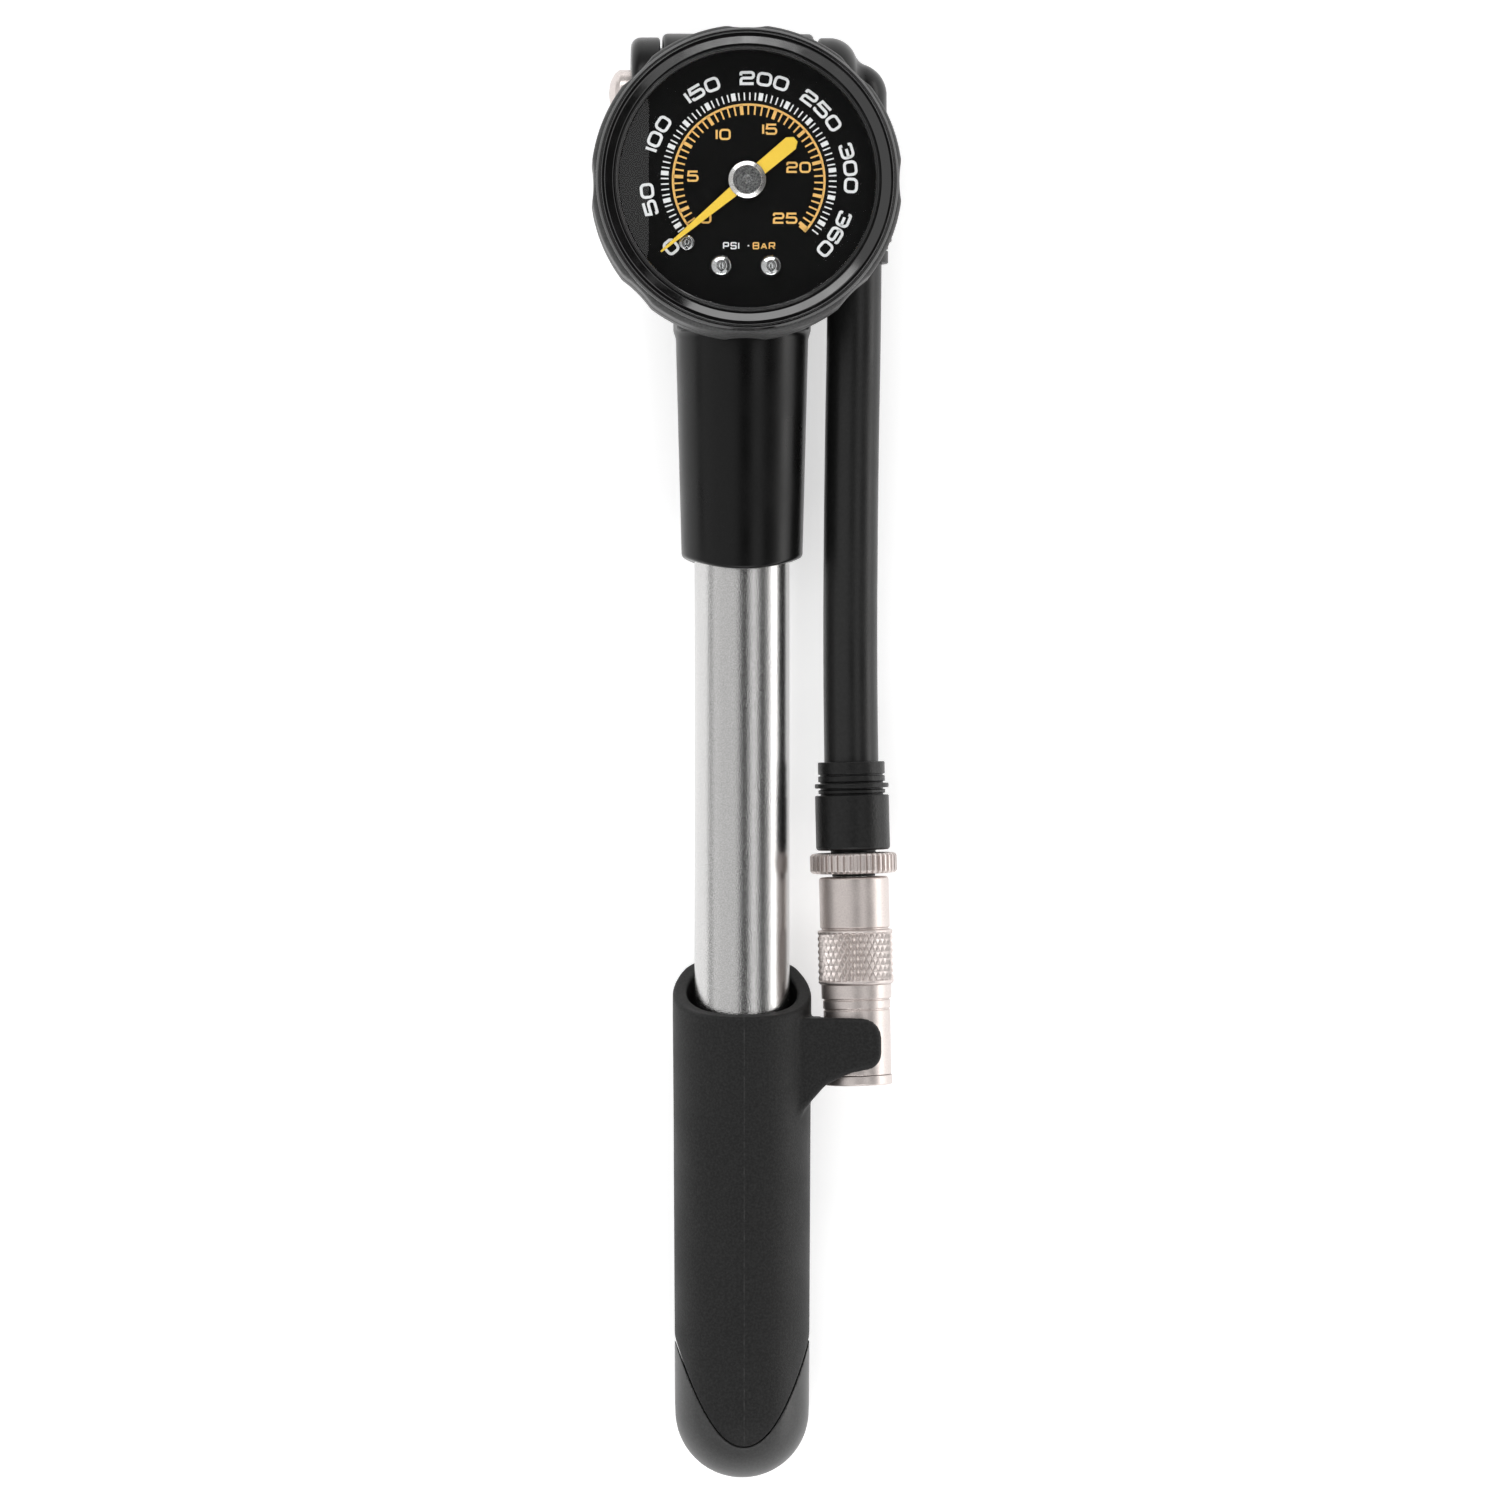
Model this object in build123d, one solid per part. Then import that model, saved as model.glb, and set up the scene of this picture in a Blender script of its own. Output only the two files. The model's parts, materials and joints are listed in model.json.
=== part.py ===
"""High-pressure hand pump for bicycle suspension, with a dial gauge and a fold-down hose.

The pump lies on its back: +Z points out of the gauge, +Y runs along the barrel towards the head, and +X is
the hose side. The origin is under the middle of the pump, on the surface that it lies on. Millimetres.
"""
import os
from math import cos, degrees, pi, radians, sin, tan

from build123d import *

# Barrel and handle
AXIS_Z = 10.6  # height of the barrel's axis
BARREL_R = 7.27
BORE_R = 6.0
BARREL_TOP = 72.0
BARREL_END = -84.0
ROD_R = 3.0
GAP = 0.08  # radial clearance of a running fit
GRIP_BORE_R = 8.4
MOUTH_FRONT = -39.65  # the handle's mouth, in front of the barrel
MOUTH_BACK = -31.15  # and behind it
MOUTH_RISE = 12.0  # depth of the slope between the two, front to back
HANDLE_END = -110.35
DOME_Y = -100.15
CAP_APEX = -104.85  # where the end cap meets the grip, front and back
CAP_EAR = 15.8  # how much further up the sides the cap reaches

# Head
HEAD_TOP = 110.35
CROSS_R = 9.3
CROSS_Y = HEAD_TOP - CROSS_R  # the cross axis carries the bleed valve and the swivel
SHELL_LEFT = -12.2
SHELL_RIGHT = 10.9
SLEEVE_TOP = 65.15
SLEEVE_TOP_R = 10.17
SLEEVE_RIM = 28.35
SLEEVE_RIM_R = 9.2
SLEEVE_ARC_R = 22.5
SHELL_W = 10.17  # half the width of the head behind the gauge
SHELL_ROUND = 4.0
PORT_R = 5.1  # holes in the shell's sides
THREAD_R = 3.6

# Gauge
GAUGE_Y = 86.0
SEAT_Z = 21.9
CASE_R = 21.3
CASE_BORE_R = 20.3
CASE_RIM_Z = 33.6
BOOT_R = 23.3
BOOT_Z = 21.3
BEZEL_R = 22.6
BEZEL_Z = 37.0
WINDOW_R = 19.2
LENS_Z = 36.1
LENS_RISE = 0.85
DIAL_Z = 32.8
NEEDLE_REST = 220.4  # degrees, anticlockwise from +X
NEEDLE_Z = 33.65
MODULE = 0.25
PINION_TEETH = 10
SECTOR_TEETH = 50
SECTOR_FIRST, SECTOR_LAST = -9, 2  # the teeth that the sector keeps
PINION_R = MODULE * PINION_TEETH / 2
SECTOR_R = MODULE * SECTOR_TEETH / 2
ARBOR_R = 0.6
GEAR_Z = 28.0

# Hose and chuck
HOSE_R = 4.15
HOSE_BORE_R = 2.0
LEG_X = 17.25
LEG_R = 4.9
DISC_R = 8.7
COLLAR_R = 5.66
COLLAR_LENGTH = 13.2
UPPER_COLLAR_END = 75.3
CHUCK_TOP = (16.705, -0.95, AXIS_Z)
CHUCK_TILT = 1.3  # degrees from the barrel's axis
CORE_R = 2.04
SLEEVE_R = 5.1
SOCKET_R = 3.87  # crest of the thread that goes over a tyre or shock valve
GASKET_R = 3.6
WHEEL_R = 6.66
WHEEL_TEETH = 40
CLIP_Z = 16.9
CLIP_X = 17.7
CLIP_GAP = 0.35

BARREL = Plane(origin=(0, 0, AXIS_Z), x_dir=(1, 0, 0), z_dir=(0, 1, 0))
CROSS = Plane(origin=(0, CROSS_Y, AXIS_Z), x_dir=(0, 1, 0), z_dir=(1, 0, 0))
GAUGE = Plane(origin=(0, GAUGE_Y, 0), x_dir=(1, 0, 0), z_dir=(0, 0, 1))
LEG = Plane(origin=(LEG_X, 0, AXIS_Z), x_dir=(1, 0, 0), z_dir=(0, 1, 0))
CHUCK_DIRECTION = (sin(radians(CHUCK_TILT)), -cos(radians(CHUCK_TILT)), 0)
CHUCK = Plane(origin=CHUCK_TOP, x_dir=(0, 0, 1), z_dir=CHUCK_DIRECTION)


# ---------------------------------------------------------------- helpers
def turned(plane, outline, rounds=()):
    """An outline of (radius, height) points turned about a plane's axis; rounds are (radius, height, size)."""
    solid = revolve(make_face(Polyline(*[(r, 0, h) for r, h in outline], close=True)), Axis.Z)
    for radius, height, size in rounds:
        rims = [
            e
            for e in solid.edges().filter_by(GeomType.CIRCLE)
            if abs(e.radius - radius) < 0.01 and abs(e.arc_center.Z - height) < 0.01
        ]
        solid = fillet(rims, size)
    return plane.location * solid


def ring(plane, outer, inner, low, high):
    """A plain tube or washer on a plane's axis."""
    return turned(plane, [(inner, low), (outer, low), (outer, high), (inner, high)])


def rod(plane, radius, low, high):
    """A plain round bar on a plane's axis."""
    return turned(plane, [(0, low), (radius, low), (radius, high), (0, high)])


def block(low, high):
    """A box between two corners."""
    size = [b - a for a, b in zip(low, high)]
    centre = [(a + b) / 2 for a, b in zip(low, high)]
    return Pos(*centre) * Box(*size)


def polar(radius, angle, height=0.0):
    """A point on a plane, from a radius and an angle in degrees."""
    return (radius * cos(radians(angle)), radius * sin(radians(angle)), height)


def spring(plane, mean_radius, wire_radius, low, high, turns):
    """A coil spring on a plane's axis, with its wire between the two heights."""
    height = high - low - 2 * wire_radius
    path = Helix(pitch=height / turns, height=height, radius=mean_radius)
    section = Plane(origin=path @ 0, z_dir=path % 0) * Circle(wire_radius)
    coil = sweep(section, path=path, is_frenet=True)
    return plane.location * Pos(0, 0, low + wire_radius) * coil


def toothed(teeth, root, tip, root_width, tip_width, first=0, last=None):
    """Points of a toothed edge about the origin; a tooth stands at each multiple of the pitch angle."""
    last = teeth - 1 if last is None else last
    points = []
    for k in range(first, last + 1):
        middle = 360 * k / teeth
        half_root = degrees(root_width / root / 2)
        half_tip = degrees(tip_width / tip / 2)
        points += [
            polar(root, middle - half_root),
            polar(tip, middle - half_tip),
            polar(tip, middle + half_tip),
            polar(root, middle + half_root),
        ]
    return points


# ---------------------------------------------------------------- head
def head_shell():
    """Moulded head: a sleeve over the barrel, a cross barrel for the side fittings and the gauge's seat."""
    sleeve = turned(
        BARREL,
        [(0, SLEEVE_RIM), (SLEEVE_RIM_R, SLEEVE_RIM), (SLEEVE_TOP_R, SLEEVE_TOP), (0, SLEEVE_TOP)],
    )
    arc_centre = SLEEVE_RIM + SLEEVE_ARC_R
    corners = block((-20, SLEEVE_RIM - 1, -5), (20, arc_centre, 30))
    corners -= Pos(0, arc_centre, 10) * Cylinder(SLEEVE_ARC_R, 40)
    sleeve -= corners
    body = block((-SHELL_W, SLEEVE_TOP - 3, 0), (SHELL_W, CROSS_Y, 2 * AXIS_Z - 1.5))
    body = fillet(body.edges().filter_by(Axis.Y), SHELL_ROUND)
    cross = rod(CROSS, CROSS_R, SHELL_LEFT, SHELL_RIGHT)
    cross = fillet(cross.edges().filter_by(GeomType.CIRCLE), 0.8)
    seat = turned(GAUGE, [(0, 12), (10.5, 12), (10.5, 14.5), (16.5, 20.3), (16.5, SEAT_Z), (0, SEAT_Z)])
    shell = sleeve + body + cross + seat
    shell -= rod(BARREL, BARREL_R + 0.03, SLEEVE_RIM - 1, 105.0)
    shell -= rod(CROSS, PORT_R, SHELL_LEFT - 1, SHELL_RIGHT + 1)
    shell -= rod(GAUGE, 3.4, AXIS_Z, SEAT_Z + 1)
    return shell


def manifold():
    """Round valve block: spigot in the barrel, check-valve bore, gauge port and the two side sockets."""
    solid = turned(
        BARREL,
        [
            (0, 62), (BORE_R - 0.05, 62), (BORE_R - 0.05, 65), (4.6, 65), (4.6, 67), (BORE_R - 0.05, 67),
            (BORE_R - 0.05, BARREL_TOP), (7.2, BARREL_TOP), (7.2, 105), (0, 105),
        ],
    )
    solid -= rod(BARREL, 1.3, 61, CROSS_Y)
    solid -= rod(BARREL, 2.6, 66, 79)
    solid -= rod(GAUGE, 1.2, AXIS_Z, 20)
    solid -= rod(GAUGE, 3.2, 13.4, 20)
    solid -= rod(CROSS, 2.8, -2.5, 1.2)
    solid -= rod(CROSS, 1.3, 0, 8)
    solid -= rod(CROSS, THREAD_R, -8, -2.5)
    solid -= rod(CROSS, THREAD_R, 2.2, 8)
    return solid


def poppet():
    """Check-valve poppet: a nose in the inlet, a sealing disc and a tail inside the spring."""
    return turned(
        BARREL,
        [
            (0, 64.6), (0.7, 64.6), (1.1, 65.4), (1.1, 67.05), (2.45, 67.05), (2.45, 68.4), (1.2, 68.4),
            (1.2, 73), (0, 73),
        ],
    )


def rod_gland():
    """Plug in the barrel's lower end, with a groove for the wiper."""
    inner = ROD_R + GAP
    end = BARREL_END
    return turned(
        BARREL,
        [
            (inner, end - 2), (BARREL_R, end - 2), (BARREL_R, end), (BORE_R, end), (BORE_R, end + 8),
            (inner, end + 8), (inner, end + 4), (4.4, end + 4), (4.4, end + 2.4), (inner, end + 2.4),
        ],
    )


# ---------------------------------------------------------------- bleed valve
def bleed_cap():
    """Round cap with a socket for the button, a shoulder and a hub that screws into the manifold."""
    disc_face = SHELL_LEFT - 0.4
    return turned(
        CROSS,
        [
            (1.7, -2.5), (THREAD_R, -2.5), (THREAD_R, -7.2), (5.0, -7.2), (5.0, SHELL_LEFT), (7.1, SHELL_LEFT),
            (7.1, disc_face), (DISC_R, disc_face), (DISC_R, -17.0), (3.83, -17.0), (3.83, -9.0), (1.7, -9.0),
        ],
        rounds=[(DISC_R, -17.0, 1.5), (DISC_R, disc_face, 0.5)],
    )


def bleed_button():
    """Hollow push button with a domed face."""
    outer = rod(CROSS, 3.75, -18.8, -11.5)
    dome_height = 1.6
    dome_r = (3.75**2 + dome_height**2) / (2 * dome_height)
    dome = Pos(-18.8 - dome_height + dome_r, CROSS_Y, AXIS_Z) * Sphere(dome_r)
    dome &= rod(CROSS, 3.75, -21, -18.8)
    return outer + dome - rod(CROSS, 3.1, -16.5, -11)


def bleed_plunger():
    """Stem from the button to the valve head behind the seat."""
    return turned(CROSS, [(0, -16.5), (1.2, -16.5), (1.2, -1.9), (2.2, -1.9), (2.2, -0.9), (0, -0.9)])


# ---------------------------------------------------------------- gauge
def gauge_socket():
    """Stem with a block that holds the tube's end and the dial, and a bridge under the movement."""
    stem = rod(GAUGE, 3.2, 13.5, 22.9)
    sector = make_face(Polyline((9, 0, 23.4), (16.4, 0, 23.4), (16.4, 0, 32.2), (9, 0, 32.2), close=True))
    end_block = Rot(0, 0, -118.2) * revolve(sector, Axis.Z, revolution_arc=56.4)
    bridge = block((-3, -9.6, 22.9), (3, 3.4, 25.5))
    fuse_pad = block((-3, -12, 22.9), (3, -9, 24.5))
    local = end_block + bridge + fuse_pad
    for x, y in screw_places():
        local -= Pos(x, y, 30) * Cylinder(0.8, 6)
    solid = stem + GAUGE.location * local
    return solid - rod(GAUGE, 0.8, 13, 22)


def screw_places():
    """Centres of the two dial screws, from the gauge's axis."""
    return [(-3.77, -13.4), (3.77, -13.4)]


def bourdon_tube():
    """Flattened tube bent round the movement, closed at its free end."""
    outer = make_face(Polyline((13.8, 0, 25.2), (15.4, 0, 25.2), (15.4, 0, 30.2), (13.8, 0, 30.2), close=True))
    tube = Rot(0, 0, -61.8) * revolve(outer, Axis.Z, revolution_arc=262)
    return GAUGE.location * tube


def gauge_boot():
    """Rubber bumper with eight shallow scallops."""
    boot = turned(
        GAUGE,
        [
            (17.0, BOOT_Z), (BOOT_R, BOOT_Z), (BOOT_R, 34.2), (CASE_R + 0.05, 34.2),
            (CASE_R + 0.05, SEAT_Z - 0.02), (17.0, SEAT_Z - 0.02),
        ],
        rounds=[(BOOT_R, BOOT_Z, 0.4), (BOOT_R, 34.2, 0.9)],
    )
    dip_r, dip = 18.0, 0.45
    for k in range(8):
        x, y, _ = polar(BOOT_R + dip_r - dip, 45 * k)
        boot -= Pos(x, GAUGE_Y + y, 28) * Cylinder(dip_r, 20)
    return boot


def bezel_ring():
    """Stepped ring that snaps over the case and holds the window."""
    return turned(
        GAUGE,
        [
            (WINDOW_R, LENS_Z + 0.05), (20.45, LENS_Z + 0.05), (20.45, 33.65), (CASE_R, 33.65), (CASE_R, 34.25),
            (BEZEL_R, 34.25), (BEZEL_R, 36.2), (22.1, 36.8), (21.6, BEZEL_Z), (20.3, 36.75), (19.6, 36.75),
            (WINDOW_R, 36.5),
        ],
    )


def lens():
    """Clear window with a slightly domed face."""
    foot_r = WINDOW_R - 0.1
    dome_r = (foot_r**2 + LENS_RISE**2) / (2 * LENS_RISE)
    dome = Pos(0, GAUGE_Y, LENS_Z + LENS_RISE - dome_r) * Sphere(dome_r)
    dome &= rod(GAUGE, foot_r, LENS_Z, BEZEL_Z)
    return rod(GAUGE, 20.4, 34.9, LENS_Z) + dome


def dial_screws():
    """Two domed screws, as one group."""
    screws = []
    for x, y in screw_places():
        at = Plane(origin=(x, GAUGE_Y + y, 0))
        head = turned(at, [(0, DIAL_Z), (1.8, DIAL_Z), (1.8, 33.2), (1.35, 33.85), (0.6, 34.05), (0, 34.05)])
        screws.append(head + rod(at, 0.75, 28, DIAL_Z))
    return Compound(screws)


def dial_plate():
    """Printed disc, with holes for the arbor, the screws and the stop pin."""
    plate = ring(GAUGE, 19.8, 1.4, 32.2, DIAL_Z)
    for x, y in screw_places():
        plate -= Pos(x, GAUGE_Y + y, 32) * Cylinder(0.8, 4)
    return plate - rod(stop_pin_plane(), 0.5, 31, 34)


def stop_pin_plane():
    """Where the pointer's stop pin stands."""
    return Plane(origin=(-8.95, GAUGE_Y - 9.25, 0))


def stop_pin():
    """Headed pin through the dial, with a thin post at the needle's height."""
    return turned(
        stop_pin_plane(),
        [
            (0, 32.0), (0.5, 32.0), (0.5, DIAL_Z), (1.15, DIAL_Z), (1.15, 33.3), (0.4, 33.3), (0.4, 34.0),
            (0, 34.0),
        ],
    )


def pointer_needle():
    """Tapered needle with a broad tail, round its boss."""
    tip, tail = 17.3, -9.1
    outline = [
        (tip, -0.2), (tip, 0.2), (1.5, 0.85), (-1.5, 1.0), (tail + 1.1, 1.05), (tail, 0.5),
        (tail, -0.5), (tail + 1.1, -1.05), (-1.5, -1.0), (1.5, -0.85),
    ]
    blade = extrude(make_face(Polyline(*outline, close=True)), 0.3)
    boss = Pos(0, 0, 0.15) * Cylinder(2.4, 0.3)
    hole = Pos(0, 0, 0.15) * Cylinder(1.25, 1)
    return GAUGE.location * Pos(0, 0, NEEDLE_Z) * Rot(0, 0, NEEDLE_REST) * (blade + boss - hole)


def pointer_hub():
    """Turned boss that clamps the needle on the arbor."""
    return turned(
        GAUGE,
        [
            (ARBOR_R, 33.3), (1.25, 33.3), (1.25, NEEDLE_Z + 0.3), (2.9, NEEDLE_Z + 0.3), (2.9, 34.35),
            (2.6, 34.5), (2.15, 34.5), (2.1, 34.3), (ARBOR_R, 34.3),
        ],
    )


def pointer_arbor():
    """Arbor with its pinion; a gap of the pinion faces the sector at rest."""
    points = toothed(PINION_TEETH, 0.93, 1.48, 0.3, 0.14)
    pinion = extrude(make_face(Polyline(*points, close=True)), 1.6)
    shaft = Pos(0, 0, (34.3 + 25.6) / 2 - GEAR_Z) * Cylinder(ARBOR_R, 34.3 - 25.6)
    half_tooth = 180 / PINION_TEETH
    return GAUGE.location * Pos(0, 0, GEAR_Z) * Rot(0, 0, 90 + half_tooth) * (pinion + shaft)


def sector_plane():
    """The sector turns about an arbor north of the pointer's."""
    return Plane(origin=(0, GAUGE_Y + SECTOR_R + PINION_R, 0))


def sector_gear():
    """Toothed sector; its tooth number 0 stands in the pinion's gap at rest."""
    edge = toothed(SECTOR_TEETH, 5.92, 6.46, 0.42, 0.2, SECTOR_FIRST, SECTOR_LAST)
    pitch = 360 / SECTOR_TEETH
    first, last = pitch * SECTOR_FIRST - 3, pitch * SECTOR_LAST + 3
    outline = [polar(1.6, first), polar(5.92, first)] + edge + [polar(5.92, last), polar(1.6, last)]
    web = make_face(Polyline(*outline, (0, 0, 0), close=True))
    gear = extrude(web, 1.1) + Pos(0, 0, 0.55) * Cylinder(2.0, 1.1)
    gear -= Pos(0, 0, 0.5) * Cylinder(ARBOR_R, 4)
    for angle in (-50, -25, 0):
        x, y, _ = polar(3.9, angle)
        gear -= Pos(x, y, 0.5) * Cylinder(0.75, 4)
    return sector_plane().location * Pos(0, 0, GEAR_Z + 0.2) * Rot(0, 0, -90) * gear


def movement_plate(low, high):
    """A plate of the movement, with a hole for each arbor."""
    plate = GAUGE.location * block((-6, -7.5, low), (6, 10.5, high))
    plate = fillet(plate.edges().filter_by(Axis.Z), 1.5)
    plate -= rod(GAUGE, ARBOR_R + GAP, low - 1, high + 1)
    return plate - rod(sector_plane(), ARBOR_R + GAP, low - 1, high + 1)


def movement_pillars():
    """Four posts between the movement's plates."""
    posts = []
    for x, y in ((-4.7, -6.2), (4.7, -6.2), (-4.7, 9.2), (4.7, 9.2)):
        posts.append(rod(Plane(origin=(x, GAUGE_Y + y, 0)), 0.8, 26.3, 30.6))
    return Compound(posts)


def hairspring():
    """Flat spiral that keeps the gear teeth on one flank."""
    turns, start, growth, thickness = 4, 0.75, 0.8, 0.12
    steps = 24 * turns

    def spiral(offset):
        return [polar(start + offset + growth * k / 24, 15 * k) for k in range(steps + 1)]

    inner = Spline(*spiral(0))
    outer = Spline(*spiral(thickness))
    ends = [Line(inner @ 0, outer @ 0), Line(inner @ 1, outer @ 1)]
    strip = make_face(Curve() + [inner, outer] + ends)
    return GAUGE.location * Pos(0, 0, 29.8) * extrude(strip, 0.5)


# ---------------------------------------------------------------- handle
def handle_outline(radius_change=0.0):
    """The handle's outer form, closed at its domed end."""
    top = MOUTH_BACK
    profile = [(0, DOME_Y), (10.25, -99.15), (10.5, -52.15), (10.6, MOUTH_FRONT), (10.6, top), (0, top)]
    body = turned(BARREL, [(r + radius_change if r else 0, y) for r, y in profile])
    dome_r = DOME_Y - HANDLE_END
    dome = Pos(0, DOME_Y, AXIS_Z) * Sphere(dome_r)
    return body + (dome & block((-12, HANDLE_END - 1, -2), (12, DOME_Y + 1.0, 24)))


def mouth_scoop():
    """What the sloping mouth takes away: deeper in front of the barrel than behind it."""
    half = MOUTH_RISE / 2
    low_z, high_z = AXIS_Z - half, AXIS_Z + half
    middle = ((MOUTH_BACK + MOUTH_FRONT) / 2, AXIS_Z)
    top = MOUTH_BACK + 2

    def p(y, z):
        return (0, y, z)

    curve_a = TangentArc(p(MOUTH_BACK, low_z), p(*middle), tangent=(0, 0, 1))
    curve_b = TangentArc(p(*middle), p(MOUTH_FRONT, high_z), tangent=curve_a % 1)
    edge = Polyline(
        p(MOUTH_FRONT, high_z), p(MOUTH_FRONT, 30), p(top, 30), p(top, -5), p(MOUTH_BACK, -5),
        p(MOUTH_BACK, low_z),
    )
    face = make_face(Curve() + [curve_a, curve_b, edge])
    return extrude(face, 20, both=True)


def cap_region():
    """Everything on the cap's side of the parabola between the grip and the cap, right through the handle."""
    reach = 12.0
    steps = 12
    points = []
    for k in range(-steps, steps + 1):
        x = reach * k / steps
        points.append((x, CAP_APEX + CAP_EAR * (x / 10.25) ** 2, -2))
    curve = Spline(*points)
    low = HANDLE_END - 2
    edge = Polyline(points[-1], (reach, low, -2), (-reach, low, -2), points[0])
    return extrude(make_face(Curve() + [curve, edge]), 26, dir=(0, 0, 1))


def clip_finger():
    """Finger moulded on the handle, hollowed behind so that the chuck rests in it and leaves backwards."""
    outline = [
        (8.6, -40.05), (18.0, -40.05), (20.0, -40.9), (21.1, -43.0), (21.1, -46.3), (20.4, -47.6),
        (19.0, -48.05), (13.8, -49.65), (11.2, -51.15), (8.6, -54.15),
    ]
    finger = extrude(make_face(Polyline(*[(x, y, 8.0) for x, y in outline], close=True)), CLIP_Z - 8.0)
    seat_r = SLEEVE_R + CLIP_GAP
    seat = Pos(CLIP_X, -47, AXIS_Z) * Rot(90, 0, 0) * Cylinder(seat_r, 30)
    exit_way = block((CLIP_X - seat_r, -60, 0), (30, -35, AXIS_Z))
    return finger - seat - exit_way


def handle_grip():
    """Black grip with the clip finger."""
    grip = handle_outline() - cap_region() - mouth_scoop()
    grip += clip_finger()
    return grip - rod(BARREL, GRIP_BORE_R, HANDLE_END - 1, MOUTH_BACK + 1)


def handle_end_cap():
    """Grey end with two ears and a plug that holds the rod."""
    cap = handle_outline() & cap_region()
    cap -= rod(BARREL, GRIP_BORE_R, HANDLE_END - 1, 0)
    plug = rod(BARREL, GRIP_BORE_R, HANDLE_END + 3, -92) & handle_outline(-0.6)
    nose = handle_outline() & rod(BARREL, GRIP_BORE_R, HANDLE_END - 1, -103)
    return cap + plug + (nose & cap_region()) - rod(BARREL, ROD_R, -99, -91)


# ---------------------------------------------------------------- hose
def collar(plane, start, direction):
    """Ribbed collar; heights run from the hose's side, along or against the plane's axis."""
    ridge, groove = 5.1, 4.7
    steps = [(0.0, ridge), (1.1, groove), (1.6, ridge), (2.4, groove), (3.0, COLLAR_R), (4.0, groove)]
    steps += [(4.6, ridge), (5.4, groove), (6.0, COLLAR_R)]
    outline = [(HOSE_R + 0.02, start)]
    for k, (at, radius) in enumerate(steps):
        end = steps[k + 1][0] if k + 1 < len(steps) else COLLAR_LENGTH
        outline += [(radius, start + direction * at), (radius, start + direction * end)]
    neck = start + direction * 9
    outline += [(3.4, start + direction * COLLAR_LENGTH), (3.4, neck), (HOSE_R + 0.02, neck)]
    return turned(plane, outline)


def swivel_elbow():
    """Disc and elbow in one piece, with the leg that carries the hose's barb."""
    disc = turned(
        CROSS,
        [(0, 11.6), (DISC_R, 11.6), (DISC_R, 17.6), (0, 17.6)],
        rounds=[(DISC_R, 17.6, 4.2), (DISC_R, 11.6, 0.6)],
    )
    corner = Pos(LEG_X, CROSS_Y, AXIS_Z) * Sphere(LEG_R)
    leg_end = UPPER_COLLAR_END + COLLAR_LENGTH
    leg = turned(
        LEG,
        [
            (0, CROSS_Y), (LEG_R, CROSS_Y), (LEG_R, leg_end), (3.4, leg_end), (3.4, leg_end - 4.2),
            (HOSE_BORE_R - 0.03, leg_end - 4.2), (HOSE_BORE_R - 0.03, leg_end - 12), (0, leg_end - 12),
        ],
    )
    journal_r = 3.5 + GAP - 0.02
    cavity = turned(
        CROSS,
        [
            (0, 11), (6.5, 11), (6.5, 13.45), (4.7, 13.45), (4.7, 15.1), (journal_r, 15.1), (journal_r, 19.2),
            (0, 19.2),
        ],
    )
    return disc + leg + corner - cavity - rod(LEG, 0.9, leg_end - 13, CROSS_Y)


def swivel_spindle():
    """Hollow spindle: screwed into the manifold, with a flange that the gland nut holds in the elbow."""
    solid = turned(
        CROSS,
        [
            (0, 2.25), (THREAD_R, 2.25), (THREAD_R, 7.25), (5.0, 7.25), (5.0, 11.2), (THREAD_R, 11.2),
            (THREAD_R, 13.55), (4.6, 13.55), (4.6, 15.0), (3.5, 15.0), (3.5, 15.4), (2.5, 15.4), (2.5, 16.4),
            (3.5, 16.4), (3.5, 16.75), (2.6, 16.75), (2.6, 17.75), (3.5, 17.75), (3.5, 18.0), (2.5, 18.0),
            (2.5, 18.7), (3.5, 18.7), (3.5, 19.0), (0, 19.0),
        ],
    )
    solid -= rod(CROSS, 1.3, 2, 17.4)
    return solid - rod(LEG, 0.45, CROSS_Y - 4, CROSS_Y + 4)


def hose_route():
    """Centre line of the hose: out of the upper collar, slightly bowed, and into the lower collar's tilt."""
    top = UPPER_COLLAR_END + COLLAR_LENGTH - 4.3
    lower = CHUCK.location * Pos(0, 0, -10)
    end = CHUCK.location * Pos(0, 0, 8.9)
    return [
        (LEG_X, top, AXIS_Z), (LEG_X, 70, AXIS_Z), (16.72, 44, AXIS_Z),
        tuple(lower.position), tuple(end.position),
    ]


def hose():
    """Rubber hose along its route: straight runs joined by large tangent arcs."""
    points = [Vector(*p) for p in hose_route()]
    runs = [b - a for a, b in zip(points, points[1:])]
    radii = []
    for before, after in zip(runs, runs[1:]):
        half_turn = radians(before.get_angle(after)) / 2
        radii.append(0.45 * min(before.length, after.length) / tan(half_turn))
    print("hose arc radii:", [round(r) for r in radii])
    path = FilletPolyline(*points, radius=radii)
    start = Plane(origin=path @ 0, z_dir=path % 0)
    tube = sweep(start * Circle(HOSE_R), path=path) - sweep(start * Circle(HOSE_BORE_R), path=path)
    expected = pi * (HOSE_R**2 - HOSE_BORE_R**2) * path.length
    print(f"hose length {path.length:.1f}, volume {tube.volume:.0f} of {expected:.0f}")
    return tube


# ---------------------------------------------------------------- chuck, on its own tilted axis
def chuck_core():
    """Hollow stem: a barb in the hose, a thread in the collar and a flange that holds the chuck."""
    solid = turned(
        CHUCK,
        [
            (0, 2), (HOSE_BORE_R - 0.03, 2), (HOSE_BORE_R - 0.03, 9.0), (3.4, 9.0), (3.4, COLLAR_LENGTH),
            (CORE_R, COLLAR_LENGTH), (CORE_R, 24.05), (3.9, 24.05), (3.9, 26.0), (CORE_R, 26.0),
            (CORE_R, 38.5), (0, 38.5),
        ],
    )
    solid -= rod(CHUCK, 0.9, 1, 39)
    slot = CHUCK.location * block((-3, -0.45, 14.2), (3, 0.45, 16.3))
    return solid - slot


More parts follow.
